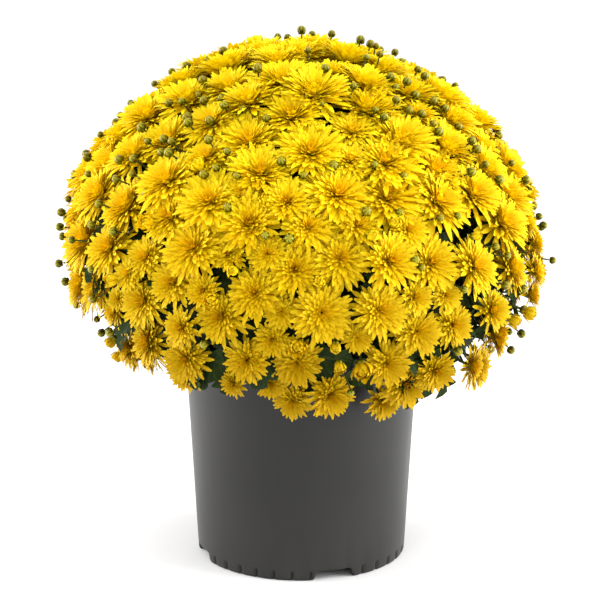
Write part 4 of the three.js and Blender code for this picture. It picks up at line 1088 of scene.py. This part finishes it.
def pot_outline():
    """The pot's section: up the outside, over the rim, down the inside, and back."""
    lip = POT_TOP_RADIUS + RIM_REACH
    lip_foot = POT_HEIGHT - RIM_DEPTH
    mouth = POT_TOP_RADIUS - WALL
    floor = FLOOR_HEIGHT + WALL
    outside = [(POT_FOOT_RADIUS - inward, height) for inward, height in FOOT_ROUNDING]
    outside += [(pot_radius(height), height) for height in OUTSIDE_HEIGHTS + [lip_foot]]
    outside += [(lip - inward, lip_foot + height) for inward, height in LIP_BELOW]
    outside += [(lip, POT_HEIGHT - LIP_ROUNDING), (lip - LIP_ROUNDING, POT_HEIGHT)]
    outside += [(mouth + MOUTH_ROUNDING, POT_HEIGHT), (mouth, POT_HEIGHT - MOUTH_ROUNDING)]
    inside = [(pot_radius(height) - WALL, height) for height in INSIDE_HEIGHTS]
    inside += [(FLOOR_RING, floor), (AXIS_GAP, floor)]
    under = [(AXIS_GAP, FLOOR_HEIGHT), (FLOOR_RING, FLOOR_HEIGHT)]
    under += [(FOOT_INSIDE + outward, height) for outward, height in UNDERSIDE]
    return outside + inside + under + outside[:1]


def notch_share(azimuth):
    """How fully an azimuth lies in a drain notch, from 0 to 1."""
    gap = 360 / NOTCH_COUNT
    apart = (azimuth - FIRST_NOTCH_AZIMUTH + gap / 2) % gap - gap / 2
    half = math.degrees(math.asin(NOTCH_WIDTH / 2 / POT_FOOT_RADIUS))
    share = np.clip((half - np.abs(apart)) / NOTCH_CORNER + 0.5, 0, 1)
    return share * share * (3 - 2 * share)


def dent_depth(height):
    """How deep the dents are at a height: faded out at their top, shallow at the very foot."""
    return np.clip((DENT_TOP - height) / DENT_FADE, 0, 1) * (1 if height > DENT_FOOT else DENT_FOOT_SHARE)


def make_pot(material):
    """The pot's skin, broken by the drain notches and dented at its foot."""
    azimuth = np.arange(POT_SIDES) * 360 / POT_SIDES
    angles = np.radians(azimuth)
    notch = notch_share(azimuth)
    dent = np.exp(-(((azimuth * DENT_COUNT / 360) % 1 - 0.5) / DENT_WIDTH) ** 2)
    outline = pot_outline()
    rows = []
    painted_shade = []
    for radius, height in outline:
        lifted = height + notch * max(0, NOTCH_HEIGHT - height)
        is_wall = radius > FOOT_INSIDE + FOOT_EDGE
        sunk = dent * dent_depth(height) * is_wall
        if is_wall and height < SCALLOP_HEIGHT:
            lifted = lifted + EDGE_SCALLOP * dent
        rows.append(ring_at(radius - DENT_DEPTH * sunk, angles, lifted))
        # the mask of painted shade: the dents, and a painted contact shadow along the bottom edge
        painted_shade.append(np.maximum(sunk, np.clip(1 - height / CONTACT_SHADE_HEIGHT, 0, 1)))
    batch = Batch()
    quads = grid_quads(len(outline), POT_SIDES, closed=True)
    batch.add(np.concatenate(rows), quads, (np.concatenate(painted_shade), 0, 0), (0, 0, 0))
    return batch.object("nursery_pot", material)


# The soil's plain side, below its lumpy top
SOIL_SIDE_RADIUS = 106.5
SOIL_SIDE_DROP = 6
SOIL_SIDE_GAP = 1
SOIL_FLOOR_GAP = 0.4
SOIL_DRAWS = 977


def make_soil(material):
    angles = np.arange(SOIL_SIDES) * TURN / SOIL_SIDES
    rows = []
    for number, radius in enumerate([AXIS_GAP, *np.linspace(*SOIL_RINGS)]):
        lump = draws(np.arange(SOIL_SIDES) + number * SOIL_DRAWS, 91)
        smooth = (lump + np.roll(lump, 1) + np.roll(lump, -1)) / 3
        drop = EDGE_DROP if radius > SOIL_EDGE else 0
        rows.append(ring_at(radius, angles, SOIL_HEIGHT - CRUMB_BASE + CRUMB_RISE * smooth - drop))
    bottom = FLOOR_HEIGHT + WALL + SOIL_FLOOR_GAP
    rows.append(ring_at(SOIL_SIDE_RADIUS, angles, SOIL_HEIGHT - SOIL_SIDE_DROP))
    rows.append(ring_at(pot_radius(bottom) - WALL - SOIL_SIDE_GAP, angles, bottom))
    rows.append(ring_at(AXIS_GAP, angles, bottom))
    batch = Batch()
    quads = grid_quads(len(rows), SOIL_SIDES, closed=True)
    batch.add(np.concatenate(rows), quads, (0, 0, 0), (0, 0, 0))
    return batch.object("potting_mix_crumb", material)


# The plant
BLOOM_CALYX = 5.2
BUD_CALYX = 0.95
OPENNESS_POWER = 1.5
SOIL_GAP = 2


def stem_of(cluster):
    """The middle stem carries the two top rows, and each outer stem one cluster of each lower row."""
    return 0 if cluster.level < 2 else cluster.place + 1


def finish_piece(piece, slot, *nodes):
    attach(piece, "root")
    if nodes:
        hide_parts(*nodes)


def grow_site(stem, petals, hub, site):
    """One bloom or bud on its stalk, from its cluster's hub."""
    index = site.index
    mark = draw(index, 75)
    leaving = unit(unit(site.foot - hub) + STALK_ARCH * site.normal)
    line = bezier(hub, leaving, site.foot, site.facing, STALK_STEPS)
    if site.kind == "bloom":
        grow_bloom(petals, site)
        grow_calyx(buds[stem], site, BLOOM_CALYX * site.radius / LARGE_RADIUS, mark)
        series = index + BLOOM_SERIES
        leaves_along(leaves[stem], line, BLOOM_LEAVES, series, BLOOM_STRETCH, site.normal)
    elif site.kind == "yellow":
        grow_opening_bud(petals, site, draw(index, 76) ** OPENNESS_POWER)
        grow_calyx(buds[stem], site, site.size * BUD_CALYX, mark)
    else:
        grow_green_bud(buds[stem], site)
    add_tube(stems[stem], line, STALK_RADIUS, STALK_TAPERS[site.kind], STALK_SIDES, mark)


def grow_trunk(stem):
    """A basal stem from its hole in the soil, and the place where it forks."""
    foot = np.array([0.0, 0.0, SOIL_HEIGHT])
    fork = np.array([0.0, 0.0, MIDDLE_FORK_HEIGHT])
    if stem > 0:
        azimuth = TURN * (stem - 1) / SECTORS
        foot = around(azimuth, TRUNK_RING, SOIL_HEIGHT)
        fork = around(azimuth, FORK_RING, FORK_HEIGHT)
    sunk = foot - UP * (HOLE_DEPTH - SOIL_GAP)
    line = np.concatenate([[sunk], bezier(foot, UP, fork, unit(fork - foot), TRUNK_STEPS)])
    add_tube(stems[stem], line, **TRUNK)
    return fork


def grow_branch(stem, fork, number, cluster):
    hub = cluster.hub
    line = bezier(fork, unit(hub - fork), hub, cluster.axis, BRANCH_STEPS)
    add_tube(stems[stem], line, **BRANCH)
    series = number + BRANCH_SERIES
    leaves_along(leaves[stem], line, BRANCH_LEAVES, series, BRANCH_STRETCH, cluster.axis)


petal = petal_material()
leaf = leaf_material()
bark = stem_material()
green = bud_material()

heads = place_blooms()
closed = place_buds(heads)
clusters = gather_clusters(heads)
for bloom in heads:
    bloom.foot = bloom.point - bloom.facing * bloom.cup
for bud in closed:
    bud.foot = bud.point - bud.facing * bud.size
    nearest_cluster(clusters, bud.elbow).members.append(bud)

stems, leaves, buds = [[Batch() for _ in range(SECTORS + 1)] for _ in range(3)]

for cluster in clusters:
    petals = Batch()
    for site in cluster.members:
        grow_site(stem_of(cluster), petals, cluster.hub, site)
    title = f"row_{cluster.level}_{cluster.place + 1}"
    finish_piece(petals.object(f"blooms_{title}", petal), "petals", f"flower_cluster_{title}")

for index, seen in enumerate(HANGING_LEAVES):
    place = dome_place(*place_from_view(*seen), 0)[0]
    hang_leaf(leaves[stem_of(nearest_cluster(clusters, place))], seen, index)

for stem in range(SECTORS + 1):
    fork = grow_trunk(stem)
    for number, cluster in enumerate(clusters):
        if stem_of(cluster) == stem:
            grow_branch(stem, fork, number, cluster)
    finish_piece(stems[stem].object(f"stems_{stem}", bark), "foliage", f"leafy_stem_{stem}")
    finish_piece(leaves[stem].object(f"leaves_{stem}", leaf), "foliage")
    finish_piece(buds[stem].object(f"buds_{stem}", green), "foliage")

finish_piece(make_pot(pot_material()), "pot_plastic", "pot")
finish_piece(make_soil(soil_material()), "soil", "potting_mix")


# Floor, light and camera, in metres
FLOOR_REACH = 20
FLOOR_RAMP = [(0.3, (0.95, 0.95, 0.95)), (0.7, (0.98, 0.98, 0.98))]
CAMERA_PLACE = (-0.0014, -1.9506, 0.6858)
CAMERA_TARGET = (-0.0014, 0.0, 0.244)

# Round area lights: place, target, diameter in metres and power in watts
LIGHTS = {
    "key": ((-0.35, -2.5, 1.9), (0, 0, 0.3), 1.8, 2),
    "top": ((0.1, -0.6, 2.7), (0, 0, 0.4), 3.0, 17),
    "glint": ((-1.0, -2.3, 2.3), (0, 0, 0.3), 0.3, 4),
    "left_strip": ((-2.2, 0.25, 0.7), (0, 0, 0.2), 1.5, 53),
    "right_strip": ((2.1, -0.4, 0.75), (0, 0, 0.2), 1.9, 68),
}


def aim(made, place, target):
    made.location = place
    made.rotation_euler = (Vector(target) - Vector(place)).to_track_quat("-Z", "Y").to_euler()
    return made


material, tree, shader = new_material("floor", 0.9, 0.1)
colour = ramp(tree, noise(tree, object_place(tree), 3.0, 2), FLOOR_RAMP)
tree.links.new(colour, shader.inputs["Base Color"])
mesh = bpy.data.meshes.new("floor")
corners = [(x * FLOOR_REACH, y * FLOOR_REACH, 0) for x, y in ((-1, -1), (1, -1), (1, 1), (-1, 1))]
mesh.from_pydata(corners, [], [(0, 1, 2, 3)])
mesh.materials.append(material)
floor = add_object("floor", mesh)

for name, (place, target, size, power) in LIGHTS.items():
    light = bpy.data.lights.new(name, "AREA")
    light.shape = "DISK"
    light.size = size
    light.energy = power
    aim(add_object(name, light), place, target)

world = bpy.data.worlds.new("studio")
world.use_nodes = True
sky = world.node_tree.nodes["Background"]
sky.inputs["Color"].default_value = (1, 1, 1, 1)
sky.inputs["Strength"].default_value = 1.06
scene = bpy.context.scene
scene.world = world
scene.view_settings.view_transform = "Standard"
scene.view_settings.look = "None"

camera = bpy.data.cameras.new("camera")
camera.lens = 127.2
camera.sensor_width = 36
scene.camera = aim(add_object("camera", camera), CAMERA_PLACE, CAMERA_TARGET)
